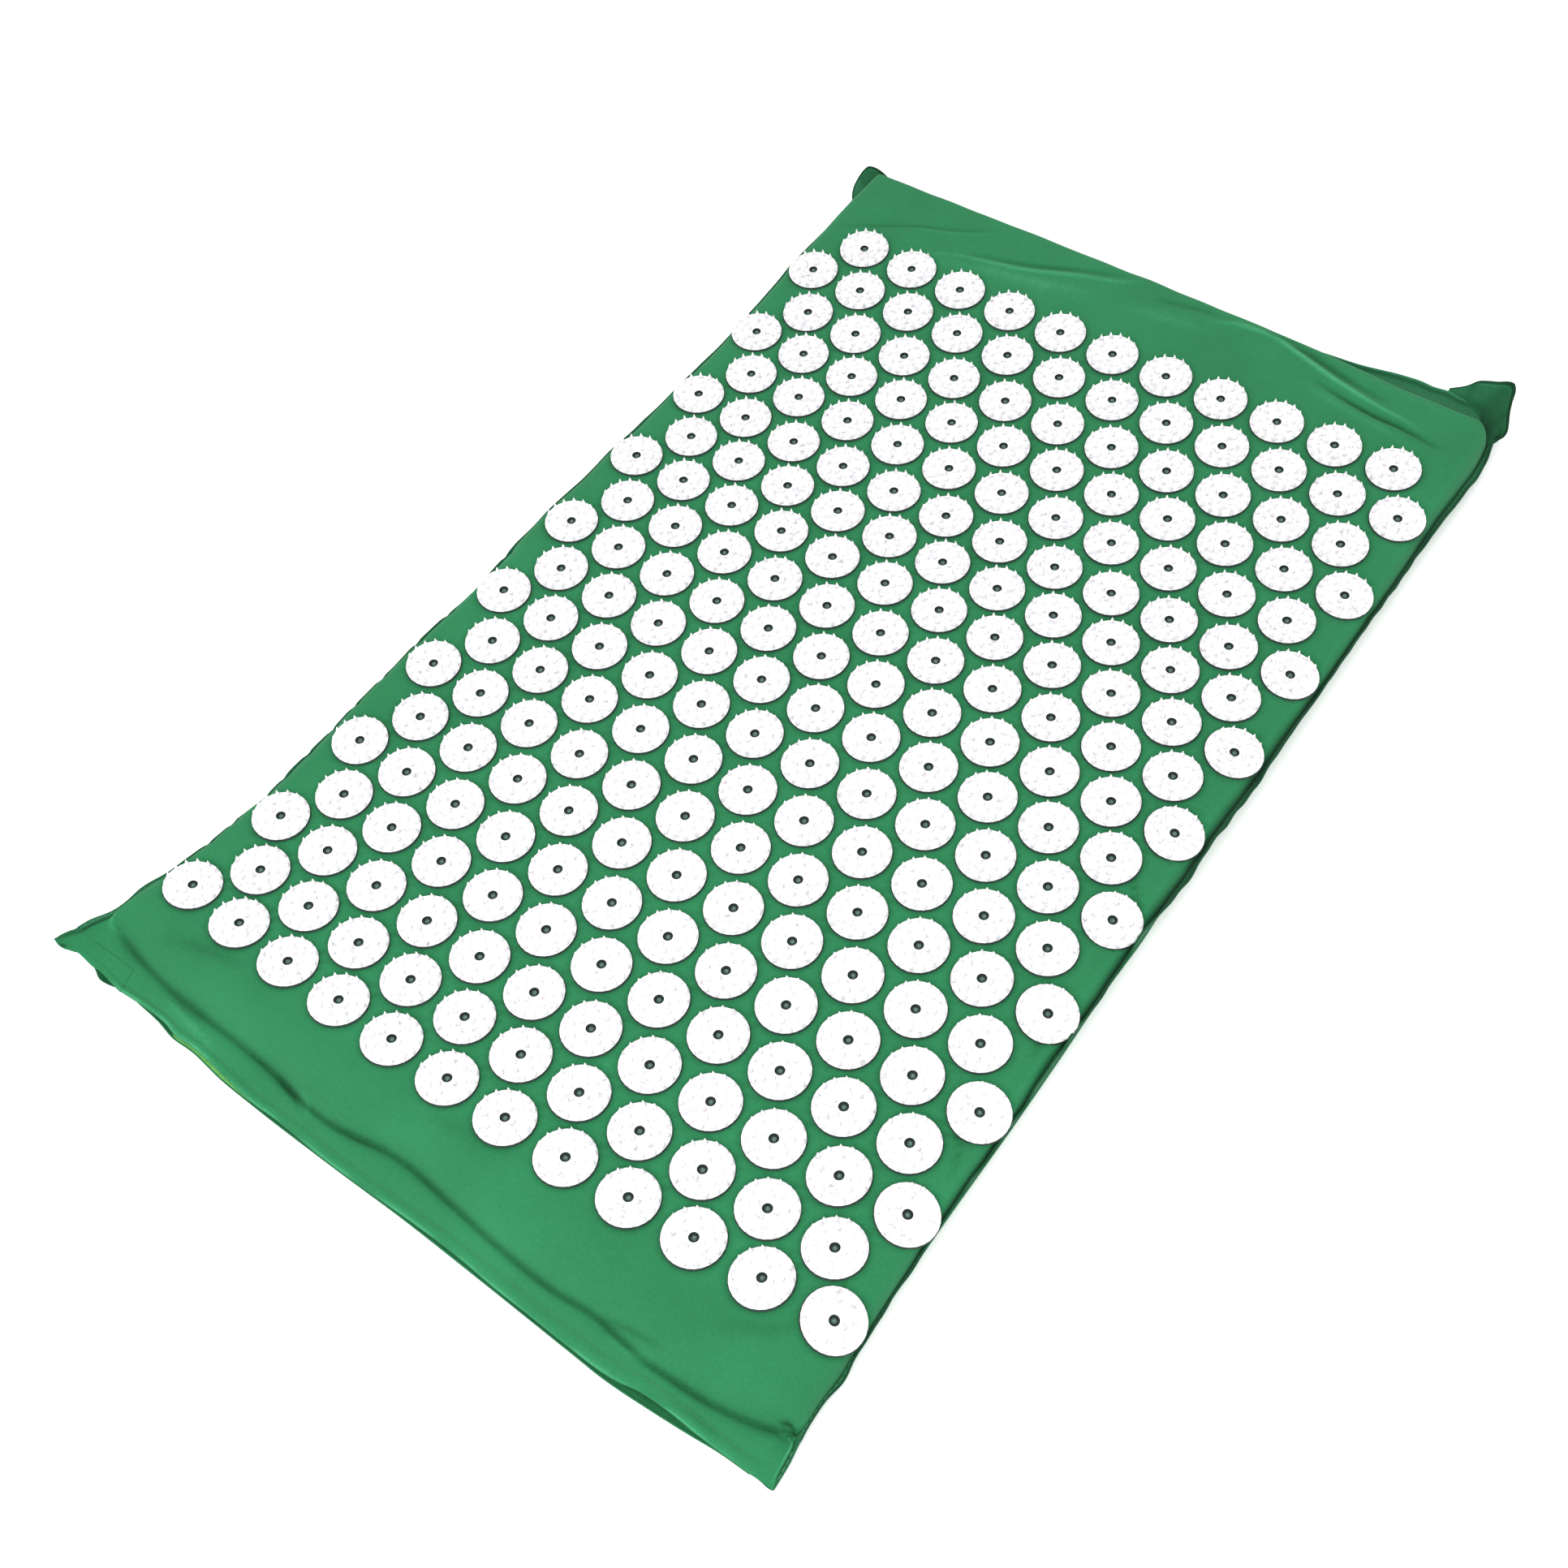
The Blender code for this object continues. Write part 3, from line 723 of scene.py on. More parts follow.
def grooveShade(x, y):
    return paintedShadingSet["groove"] * bell(y, grooveAt(x), paintedShadingSet["grooveWidth"]) * grooveFade(x)


def grooveShape(x, y):
    # how far the cloth is drawn in along the groove: a broad hollow with a sharp line in it
    away = y - grooveAt(x)
    profile = 0.65 * bell(away, 0, 3.2 * mm) + 0.35 * bell(away, 0, 1.1 * mm)
    return (2.4 + 0.8 * ripple(x, 63, 50 * mm)) * mm * profile * grooveFade(x)


def cornerRise(x, y, riseX, riseY):
    # the two edges' rounds run together, the far left corner is pulled sharp and the far right one is round
    sharp = 1 - 0.65 * bell(x, -coverHalf, 30 * mm) * bell(y, farEnd, 26 * mm)
    riseX, riseY = riseX ** sharp, riseY ** sharp
    plain = np.clip(1 - ((1 - riseX) ** 3 + (1 - riseY) ** 3) ** (1 / 3), 0, 1)
    half, run = coverSet["cornerRound"], coverSet["foamRound"] + coverHalf - foamHigh.x
    aside, beyond = x - coverHalf + half, y - farEnd + half
    turn = ease(np.arctan2(np.maximum(aside, 0), np.maximum(beyond, 1e-6)) / (math.pi / 2))
    power = coverSet["edgePower"] + (coverSet["sidePower"] - coverSet["edgePower"]) * turn
    rounded = riseAt(np.hypot(aside, beyond), half, run, power)
    return np.where((aside > 0) & (beyond > 0), rounded, plain)


def softRise(x, y, riseX):
    # beside the near right corner the cloth slopes down over a longer way
    share = np.clip((x - coverHalf + coverSet["softCorner"]) / coverSet["softCorner"], 0, 1)
    near = 1 - ease((y - creaseY) / (70 * mm))
    return np.where(x > 0, riseX + (np.sqrt(1 - share ** 2) - riseX) * near, riseX)


def topSurface(x, y, riseX, riseY):
    # the free cloth of the top panel, before the discs press into it
    pulled = coverPlace(x, y)
    riseX = softRise(x, y, riseX)
    blend = ease((y - creaseY) / coverSet["settle"])
    rim = creaseHeight(pulled) * (1 - blend) + rimHeight(x, y) * blend
    level = topHigh.z + swell(x, y)
    rise = cornerRise(x, y, riseX, riseY * mouthRise(pulled, y))
    settled = ease((y - creaseY) / (8 * mm))
    height = rim + (level - rim) * rise + foldHeight(pulled, y, folds) * rise * settled
    near = y < creaseY + 40 * mm
    height = height + np.where(near, (lipSlope(pulled, y) - grooveShape(pulled, y)) * (0.3 + 0.7 * riseX), 0)
    height = height + foldHeight(pulled, y, nearHook)
    bump = 0.25 * mm * ripple(pulled + 0.6 * y, 61, 45 * mm) * ripple(y - 0.5 * pulled, 62, 50 * mm)
    return pulled, height + bump * rise * settled * (np.abs(riseX - 1) < 0.01)


def coverBorder(x):
    # the near border of the top panel, where the lip and the corners go on from it
    every = np.linspace(-coverHalf, coverHalf, 500)
    start = np.interp(x, coverPlace(every, np.full_like(every, creaseY)), every)
    run = coverSet["foamRound"] + coverHalf - foamHigh.x
    y = np.full_like(x, creaseY)
    placed, height = topSurface(start, y, riseAt(start, coverHalf, run, coverSet["sidePower"]), np.ones_like(x))
    return np.c_[placed, y, height]


def discShade(x, y):
    # the cloth is darker close round each disc
    shade = np.zeros_like(x)
    for discs in discRows:
        for centre, aside, away in discs:
            near = np.abs(x - centre.x) + np.abs(y - centre.y) < 2 * discSet["radius"]
            out = np.hypot(x[near] - centre.x, y[near] - centre.y) / discSet["radius"]
            shade[near] = np.maximum(shade[near], 1 - ease((out - 0.95) / 0.28))
    return shade


def topPaintedShading(column, row):
    # painted light: highlights along fold tops and the rounded edge, shade in the creases, the groove, the
    # walls, the far edge and round each disc
    x, y = acrossX[column], alongY[row]
    pulled = coverPlace(x, y)
    paintedLight = foldHeight(pulled, y, folds) / mm * paintedShadingSet["fold"]
    paintedLight = paintedLight + foldHeight(pulled, y, nearHook) / mm * paintedShadingSet["hook"]
    riseX = softRise(x, y, acrossRise[column])
    rise = cornerRise(x, y, riseX, alongRise[row] * mouthRise(pulled, y))
    edge = paintedShadingSet["edge"] * bell(rise, 0.88, 0.08) * (y > -0.25) * (alongRise[row] > 0.95)
    wall = paintedShadingSet["wall"] * ease((0.22 - rise) / 0.2) * (y > -0.30)
    wall = wall + paintedShadingSet["farWall"] * ease((0.95 - alongRise[row]) / 0.12)
    farLeft = paintedShadingSet["farLeft"] * ease((0.84 - rise) / 0.12) * ease((y - 0.12) / 0.1) * ease((0.1 - x) / 0.2)
    shade = paintedShadingSet["disc"] * discShade(pulled, y)
    return paintedLight + edge + grooveShade(pulled, y) + wall + farLeft + shade


# Discs

discSet = {
    "rows": 20,
    "longRow": 12,
    "pitch": 34.5 * mm,
    "rowPitch": 29.46 * mm,
    "middle": -19 * mm,
    "bow": 4.3 * mm,
    "seenAt": 24.3 * mm,      # height at which the places below were read
    "radius": 14.75 * mm,
    "plate": 2.0 * mm,
    "hole": 2.5 * mm,
    "spikeHeight": 4.1 * mm,
    "rimGap": 1.15 * mm,      # how far a disc's white rim stands off the cloth
    # the foot is a dark ring of painted shadow round the disc's underside
    "foot": 0.42 * mm,        # how far the dark foot under the rim stands out
    "sink": 0.5 * mm,
    "tiltShare": 0.6,
}

# How far the discs lie from an even pattern, in mm, at some rows: at the left end, the middle and the right end
discDrift = {
    "rows": (0, 1, 2, 4, 9, 12, 14, 17, 19),
    "xLeft": (-8.3, -3.2, 0.5, 2.8, 1.2, 2, 3, 0.8, -1.8),
    "xMiddle": (-3.3, 0, 1.6, 1.8, 0.5, 1.2, 2.7, 1, -1.1),
    "xRight": (1.8, 1.9, 1.5, 1.4, -0.5, 1.1, 1.4, 0.4, -0.1),
    "yLeft": (5.4, 2.4, 1, -0.7, -0.9, -2.1, -3.8, -3.8, 0.1),
    "yMiddle": (0, -0.9, -1.7, -1.6, -0.3, -1.2, -3.2, -1.3, 3),
    "yRight": (2.6, 0.2, 0.2, -0.7, -0.6, -3.3, -5, -2.6, 1.3),
}

# Which way the discs lean, in degrees, at some rows
discLean = {
    "rows": (0, 1, 2, 4, 9, 12, 14, 17, 19),
    "away": (12.5, 9, 4.5, -1, -2, 2, 1, -5, -6),
    "edge": (16, 12, 10, 8, 10, 7, 6, 2, 1),
    "beforeEdge": (-7, -7, -7, -5, -4, -3, -4, -3, -2),
}


def driftAt(axis, row, side):
    left, middle, right = [
        np.interp(row, discDrift["rows"], discDrift[axis + end]) for end in ("Left", "Middle", "Right")
    ]
    bend = (left + right) / 2 - middle
    return (middle + (right - left) / 2 * side + bend * side * side) * mm


def levelAt(x, y):
    # height of the free top above one place, past the rounded edges as well
    return topHigh.z + float(swell(np.array([x]), np.array([y]))[0])


def discPlaces():
    # centre, lean towards +X and lean towards +Y of every disc, row by row
    rows = []
    half = (discSet["longRow"] - 1) / 2 * discSet["pitch"]
    for row in range(discSet["rows"]):
        count = discSet["longRow"] - row % 2
        discs = []
        for i in range(count):
            x = (i - (count - 1) / 2) * discSet["pitch"]
            side = x / half
            y = (row - (discSet["rows"] - 1) / 2) * discSet["rowPitch"] + discSet["middle"]
            y += discSet["bow"] * side * side
            seen = np.array([[x + driftAt("x", row, side), y + driftAt("y", row, side), discSet["seenAt"]]])
            away = np.interp(row, discLean["rows"], discLean["away"]) * discSet["tiltShare"]
            aside = 1.2 * max(0.0, -side)
            drop = discSet["sink"]
            if row % 2 == 0 and i == count - 1:
                aside = float(np.interp(row, discLean["rows"], discLean["edge"]))
                drop += 0.5 * discSet["radius"] * math.sin(math.radians(aside))
            elif row % 2 == 0 and i == count - 2:
                aside = float(np.interp(row, discLean["rows"], discLean["beforeEdge"])) * discSet["tiltShare"]
            elif i == count - 1:
                aside = -1.5
            if row == 0:
                away *= 1.15 - 0.85 * max(0.0, side)
            x, y, z = sightShift(seen, levelAt(*seen[0, :2]) + discSet["plate"])[0]
            discs.append((Vector((x, y, levelAt(x, y) - drop)), aside, away))
        rows.append(discs)
    return rows


def discTurn(aside, away):
    # the turn that leans an upright disc
    normal = Vector((math.tan(math.radians(aside)), math.tan(math.radians(away)), 1)).normalized()
    return Vector((0, 0, 1)).rotation_difference(normal).to_matrix().to_4x4(), normal


def seatCloth(x, y, height):
    # the cloth lies against the underside of each disc and leaves it just past its edge
    inner, outer = 0.92 * discSet["radius"], 1.25 * discSet["radius"]
    for discs in discRows:
        for centre, aside, away in discs:
            near = np.abs(x - centre.x) + np.abs(y - centre.y) < 2 * outer
            if not near.any():
                continue
            _, normal = discTurn(aside, away)
            dx, dy = x[near] - centre.x, y[near] - centre.y
            plane = centre.z - 0.15 * mm - (normal.x * dx + normal.y * dy) / normal.z
            share = 1 - ease((np.hypot(dx, dy) - inner) / (outer - inner))
            height[near] = height[near] + (plane - height[near]) * share
    return height


def coverTopShape(column, row):
    x, y = acrossX[column], alongY[row]
    riseX, riseY = acrossRise[column], alongRise[row]
    pulled, height = topSurface(x, y, riseX, riseY)
    inField = (riseX > 0.55) & (riseY > 0.98)
    height[inField] = seatCloth(pulled[inField], y[inField], height[inField].copy())
    beyond = curveThrough(coverSet["farPull"], x / mm) * mm * ease((y - 0.295) / 0.03) * ease(riseY / 0.5)
    return np.c_[pulled, y + beyond, height]


def makeCoverTop():
    columns, rows = len(acrossX) - 1, len(alongY) - 1
    thickness = coverSet["thickness"]
    piece = gridPiece("coverTop", columns, rows, coverTopShape, [cotton], thickness, paintedShading=topPaintedShading)
    return declare(piece, "cover_top_panel")


# Bottom panel: flat on the floor, turned up at its rims

def lowerCrease(x):
    # height of the bottom panel along the mouth: on the floor, but lifted with the near left corner
    lift = creaseHeight(cornerLeft) - coverSet["rimGap"]
    return lift * ease((lipLow.x - x) / (lipLow.x - cornerLeft)) ** 1.2


def coverBottomShape(column, row):
    x, y = acrossX[column], alongY[row]
    riseX = acrossRise[column]
    riseY = np.where(y < 0, 1.0, alongRise[row])
    pulled = coverPlace(x, y)
    near = 1 - ease((y - creaseY) / coverSet["settle"])
    rim = rimHeight(x, y) - coverSet["rimGap"]
    rim = np.where(x < 0, rim, rim * (1 - near) + 2.5 * mm * near)
    height = rim * (1 - cornerRise(x, y, riseX, riseY))
    return np.c_[pulled, y, np.maximum(height, lowerCrease(pulled) * near)]


def makeCoverBottom():
    columns, rows = len(acrossX) - 1, len(alongY) - 1
    piece = gridPiece("coverBottom", columns, rows, coverBottomShape, [cotton], coverSet["thickness"], 1.0)
    return declare(piece, "cover_bottom_panel")


# Foam slab inside the cover

def makeFoam():
    # its top is lowered by the margin, to stay under the cloth that sinks between the discs
    margin = 1.8 * mm
    bm = bmesh.new()
    bmesh.ops.create_cube(bm, size=1)
    size = foamHigh - foamLow
    bmesh.ops.scale(bm, vec=size, verts=bm.verts)
    bmesh.ops.translate(bm, vec=(foamHigh + foamLow) / 2, verts=bm.verts)
    bmesh.ops.bevel(
        bm, geom=list(bm.edges), offset=9.5 * mm, segments=6, profile=0.5, affect="EDGES", material=-1
    )
    for vertex in bm.verts:
        if vertex.co.z > size.z / 2:
            vertex.co.z -= margin
    piece = newPiece("foamSlab", bm, [foam])
    declare(piece, "foam_core")


# One disc, made once and copied along its rows

# Each ring's number of spikes, its radius and the radius of a spike's foot, in mm
spikeRings = {"outer": (15, 13.3, 1.35), "middle": (8, 8.9, 1.2), "inner": (4, 5.0, 1.2)}


def makeDiscShape():
    radius, plate, hole = discSet["radius"], discSet["plate"], discSet["hole"]
    bm = bmesh.new()
    profile = [
        (hole, 0),
        (hole, plate - 0.2 * mm),
        (hole + 0.3 * mm, plate),
        (radius - 0.45 * mm, plate),
        (radius, plate - 0.4 * mm),
        (radius - 0.1 * mm, discSet["rimGap"]),
        (radius + discSet["foot"], 0.25 * mm),
        (0.6 * radius, 0),
    ]
    corners = [bm.verts.new((r, 0, z)) for r, z in profile]
    edges = [bm.edges.new((a, b)) for a, b in zip(corners, corners[1:] + corners[:1])]
    bmesh.ops.spin(
        bm, geom=corners + edges, cent=(0, 0, 0), axis=(0, 0, 1), angle=2 * math.pi, steps=28, use_merge=True
    )
    bmesh.ops.remove_doubles(bm, verts=bm.verts, dist=0.01 * mm)
    bmesh.ops.recalc_face_normals(bm, faces=bm.faces)
    # the hole's wall and the foot ring under the rim take the painted shadow
    for face in bm.faces:
        outs = [math.hypot(corner.co.x, corner.co.y) for corner in face.verts]
        if max(outs) < hole + 0.1 * mm or max(outs) > radius + 0.1 * mm:
            face.material_index = 2
    for ring, (count, ringRadius, width) in enumerate(spikeRings.values()):
        for i in range(count):
            angle = 2 * math.pi * (i + 0.5 * (ring % 2)) / count
            at = Vector((ringRadius * mm * math.cos(angle), ringRadius * mm * math.sin(angle), 0))
            at.z = plate + discSet["spikeHeight"] / 2 - 0.1 * mm
            bmesh.ops.create_cone(
                bm, cap_ends=False, segments=5, radius1=width * mm, radius2=0, depth=discSet["spikeHeight"],
                matrix=Matrix.Translation(at) @ Matrix.Rotation(angle, 4, "Z"),
            )
    shape = bpy.data.meshes.new("discShape")
    bm.to_mesh(shape)
    bm.free()
    return shape


def makeStakeShape():
    # a dark sheet of painted shadow in the eyelet's well, and the stake's end in its middle
    bm = bmesh.new()
    hole = discSet["hole"]
    bmesh.ops.create_circle(
        bm, cap_ends=True, radius=hole * 0.99, segments=14, matrix=Matrix.Translation((0, 0, 0.5 * mm))
    )
    # the sheet in the hole is painted shadow
    for face in bm.faces:
        face.material_index = 2
    bmesh.ops.create_cone(
        bm, cap_ends=True, segments=10, radius1=hole * 0.55, radius2=hole * 0.38, depth=0.8 * mm,
        matrix=Matrix.Translation((0.1 * mm, 0.1 * mm, 0.95 * mm)),
    )
    for face in bm.faces:
        if face.material_index == 0:
            face.material_index = 1
    shape = bpy.data.meshes.new("stakeShape")
    bm.to_mesh(shape)
    bm.free()
    return shape


def makeDiscRows():
    disc, stake = makeDiscShape(), makeStakeShape()
    draw = np.random.default_rng(4)
    for row, discs in enumerate(discRows):
        bm = bmesh.new()
        for centre, aside, away in discs:
            lean, _ = discTurn(aside, away)
            spin = Matrix.Rotation(draw.uniform(-0.09, 0.09), 4, "Z")
            start = len(bm.verts)
            bm.from_mesh(disc)
            bm.from_mesh(stake)
            bm.verts.ensure_lookup_table()
            bmesh.ops.transform(bm, matrix=Matrix.Translation(centre) @ lean @ spin, verts=bm.verts[start:])
        piece = newPiece(f"discRow{row + 1:02d}", bm, [discWhite, eyelet, paintedShadow], smoothAngle=40)
        declare(piece, f"disc_row_{row + 1:02d}")


# Sewn edges: two layers of folded cloth that stand out along the sides and the far end

seamSet = {
    "width": 5.2 * mm,
    "thickness": 0.9 * mm,
    "tuck": 0.8 * mm,         # how far inside the cover's rim it starts
    "stitch": 2.4 * mm,
    "stitchGap": 1.0 * mm,
    # how far each side seam stands out, at places along it, in mm. Where it stands out less, it stands up
    "rightReach": [
        (-338, 1.3), (-325, 1.1), (-308, 1.8), (-290, 1.3), (-250, 1.1), (-200, 0.9), (-125, 1.0), (-84, 2.0),
        (-56, 1.0), (-28, 3.4), (0, 3.0), (40, 3.6), (84, 2.3), (120, 1.8), (165, 1.5), (196, 2.0), (224, 2.3),
        (250, 3.5), (280, 3.8), (308, 3.5), (327, 1.8),
    ],
    "leftReach": [
        (-338, 1.8), (-332, 2.1), (-325, 1.6), (-316, 1.2), (-300, 3.0), (-230, 4.9), (-160, 4.3), (-80, 4.7),
        (0, 4.2), (70, 4.7), (140, 4.3), (210, 4.7), (327, 4.5),
    ],
    # how much of the rest of its width stands up, from 0 to 1: less where it lies folded under
    "rightStand": [(-338, 0.2), (-305, 0.3), (-265, 0.85), (327, 0.85)],
    "leftStand": [(-338, 0.2), (-300, 0.3), (327, 0.6)],
    # past the crease the seams run on round the near corners: places, heights and reach, in mm
    "leftTail": [
        (-338.0, -228.4, 21.7, 1.8), (-341.5, -230.2, 22.1, 1.6), (-345.5, -232.4, 22.5, 1.2),
        (-349.4, -234.4, 22.8, 0.4),
    ],
    "rightTail": [
        (-338.0, 204.8, 6.6, 1.3), (-342.2, 205.2, 6.2, 1.5), (-347.4, 205.9, 5.8, 1.6),
        (-353.5, 206.6, 4.8, 1.2), (-360.3, 207.6, 3.4, 0.3),
    ],
}


def seamList(side, name):
    return seamSet[("right" if side > 0 else "left") + name]


def sideSeamPoint(side, out, y):
    # a point on a side seam: out is the share of its width, from the cover's rim outwards
    width = seamSet["width"] + 0.6 * mm * ripple(y, 20 + side, 60 * mm)
    reach = curveThrough(seamList(side, "Reach"), y / mm) * mm
    reach = np.minimum(reach + 0.25 * mm * ripple(y, 22 + side, 22 * mm), width * 0.98)
    stand = np.sqrt(width ** 2 - reach ** 2) * curveThrough(seamList(side, "Stand"), y / mm)
    tuck = seamSet["tuck"]
    root = coverPlace(np.full_like(y, side * coverHalf), y) - side * tuck
    x = root + side * out * (reach + tuck + 0.3 * mm)
    z = sideHeight(side, y) - 0.6 * mm + out ** 1.2 * stand
    return np.c_[x, y, z]


def seamTailPoint(side, out, y):
    # the seam past the crease: its places are listed from the crease to the tip
    tail = np.array(seamList(side, "Tail"))[::-1]
    root, height, reach = [curveThrough(tail[:, (0, k)], y / mm) * mm for k in (1, 2, 3)]
    stand = 0.5 * reach * (side < 0)
    return np.c_[root + side * out * reach, y, height - 0.6 * mm + out ** 1.2 * stand]


def makeSeamTail(name, node, side):
    end = seamList(side, "Tail")[-1][0] * mm
    steps = np.linspace(end, creaseY + 0.5 * mm, 30)
    outs = np.linspace(0, 1, 5)

    def shape(column, row):
        tail = seamTailPoint(side, outs[column], np.minimum(steps[row], creaseY))
        last = sideSeamPoint(side, outs[column], np.full(len(row), creaseY + 0.4 * mm))
        share = ease((steps[row] - creaseY + 4 * mm) / (4.3 * mm))[:, None]
        points = tail * (1 - share) + last * share
        points[:, 1] = steps[row]
        return points

    piece = gridPiece(name, 4, len(steps) - 1, shape, [shadedSeamCotton], seamSet["thickness"], 0.0)
    return declare(piece, node)


def makeSideSeam(name, node, side):
    steps = np.linspace(creaseY + 0.3 * mm, farEnd, 300)
    outs = np.linspace(0, 1, 5)

    def shape(column, row):
        return sideSeamPoint(side, outs[column], steps[row])

    def paintedShading(column, row):
        # painted shade at the seam's root and outer edge, painted highlight along the middle where it folds
        # over
        return np.array([-0.4, -0.3, 0.45, 0.2, -0.5])[column]

    piece = gridPiece(name, 4, len(steps) - 1, shape, [shadedSeamCotton], seamSet["thickness"], 0.0, paintedShading)
    return declare(piece, node)


def addStitch(bm, start, end, radius):
    # one stitch: two cones, foot to foot, thin at both ends
    run = end - start
    turn = run.to_track_quat("Z", "Y").to_matrix().to_4x4()
    for share, first, last in ((0.25, 0.6 * radius, radius), (0.75, radius, 0.6 * radius)):
        bmesh.ops.create_cone(
            bm, cap_ends=True, segments=6, radius1=first, radius2=last, depth=run.length * 0.5,
            matrix=Matrix.Translation(start.lerp(end, share)) @ turn,
        )


def stitchLine(name, points, material, lift, radius=0.32 * mm):
    # stitches along a line of points, lifted off the cloth
    places = np.array(points)
    lengths = np.r_[0, np.cumsum(np.linalg.norm(np.diff(places, axis=0), axis=1))]
    stitch, reached = seamSet["stitch"], 0.0
    bm = bmesh.new()

    def at(length):
        return Vector([np.interp(length, lengths, places[:, k]) for k in range(3)]) + Vector(lift)

    while reached + stitch < lengths[-1]:
        addStitch(bm, at(reached), at(reached + stitch), radius)
        reached += stitch + seamSet["stitchGap"]
    return newPiece(name, bm, [material])


def makeSideStitches(name, node, side):
    steps = np.linspace(creaseY + 2 * mm, farEnd - 1 * mm, 260)
    points = sideSeamPoint(side, np.full_like(steps, 0.55), steps)
    piece = stitchLine(name, points, thread, (0, 0, seamSet["thickness"] / 2 + 0.1 * mm))
    declare(piece, node)


# Far seam: it waves out further towards the right, where the cloth is loose

farSeamSet = {
    "reach": [
        (-207, 5.5), (-150, 5.5), (-113, 6.0), (-60, 5.0), (0, 7.0), (26, 11.0), (66, 9.5), (100, 10.0),
        (115, 11.5), (143, 16.4), (152, 17.8), (160, 17.8), (168, 19.0), (177, 17.3), (187, 16.4), (193, 10.0),
        (199, 2.5),
    ],
    "lift": 1.5 * mm,
    "end": 0.199,
}


def farSeamPoint(x, out):
    reach = curveThrough(farSeamSet["reach"], x / mm) * mm
    level = seamLevel + 0.8 * mm * ripple(x, 31, 70 * mm) * out
    fold = 0.8 * mm * np.sin(2.2 * math.pi * out) * ease((x - 0.01) / 0.05)
    lift = farSeamSet["lift"] * out * ease((x - 0.02) / 0.1)
    return np.c_[x, farEnd + 0.3 * mm + reach * out, level + lift + fold]


def makeFarSeam():
    xs = np.linspace(-coverHalf - 2 * mm, farSeamSet["end"], 180)
    outs = np.linspace(0, 1, 9)

    def shape(column, row):
        return farSeamPoint(xs[column], outs[row])

    def paintedShading(column, row):
        # painted light: paler towards the right where more light falls, a painted highlight on the outer rim,
        # painted shade just inside it and at the root
        plain = 0.35 * ease((xs[column] - 0.08) / 0.06) * (row < 7)
        return plain + 1.0 * (row == 8) - 0.35 * (row == 7) - 0.15 * (row <= 2)

    thickness = seamSet["thickness"]
    piece = gridPiece("farSeamEdge", len(xs) - 1, 8, shape, [shadedSeamCotton], thickness, 0.0, paintedShading)
    declare(piece, "far_seam")
    points = farSeamPoint(xs[4:-2], np.full(len(xs) - 6, 0.5))
    stitches = stitchLine("farStitches", points, thread, (0, 0, thickness / 2 + 0.1 * mm))
    declare(stitches, "far_thread")
    return piece


# Loose corners at the far end: flaps between a root line on the cover and an outer line, in mm

earSet = {
    "farRightRoot": [
        (168, 346.0, 9.8), (177, 343.6, 9.6), (187, 342.2, 9.6), (193, 335.5, 9.8), (200, 327, 10.4),
        (203.5, 318, 11),
    ],
    "farRightOuter": [
        (168.1, 348.0, 11), (175.6, 350.3, 14.5), (183.3, 351.6, 21), (191.1, 351.9, 25), (197.6, 351.6, 28.5),
        (200.8, 351.1, 29), (202.6, 348.9, 28), (204.1, 343.0, 24.5), (205.8, 337.2, 21), (208.1, 332.5, 18),
        (209.3, 329.5, 16), (209.1, 326.6, 14.5), (206.0, 322.6, 13),
    ],
    "farLeftRoot": [
        (-207, 305, 12), (-207.4, 318, 12.5), (-206.5, 328, 12.5), (-202, 329, 12), (-196, 329, 11.5),
    ],
    "farLeftOuter": [
        (-208.5, 304, 13), (-213.3, 308.4, 14), (-216.4, 314, 15.5), (-218.4, 321.1, 17), (-218.7, 329.3, 18.5),
        (-217.8, 332.4, 19), (-214.7, 333.9, 18.5), (-209.2, 334.7, 16.5), (-203, 333.5, 14), (-195, 331, 11.8),
    ],
    "steps": 44,
    "roll": 0.8 * mm,
}


def pathThrough(places, share):
    # points along a smooth line through a few places, by the share of its length
    places = np.array(places, float)
    lengths = np.r_[0, np.cumsum(np.linalg.norm(np.diff(places, axis=0), axis=1))]
    lengths = lengths / lengths[-1]
    return np.stack([curveThrough(np.c_[lengths, places[:, k]], share) for k in range(3)], axis=1) * mm


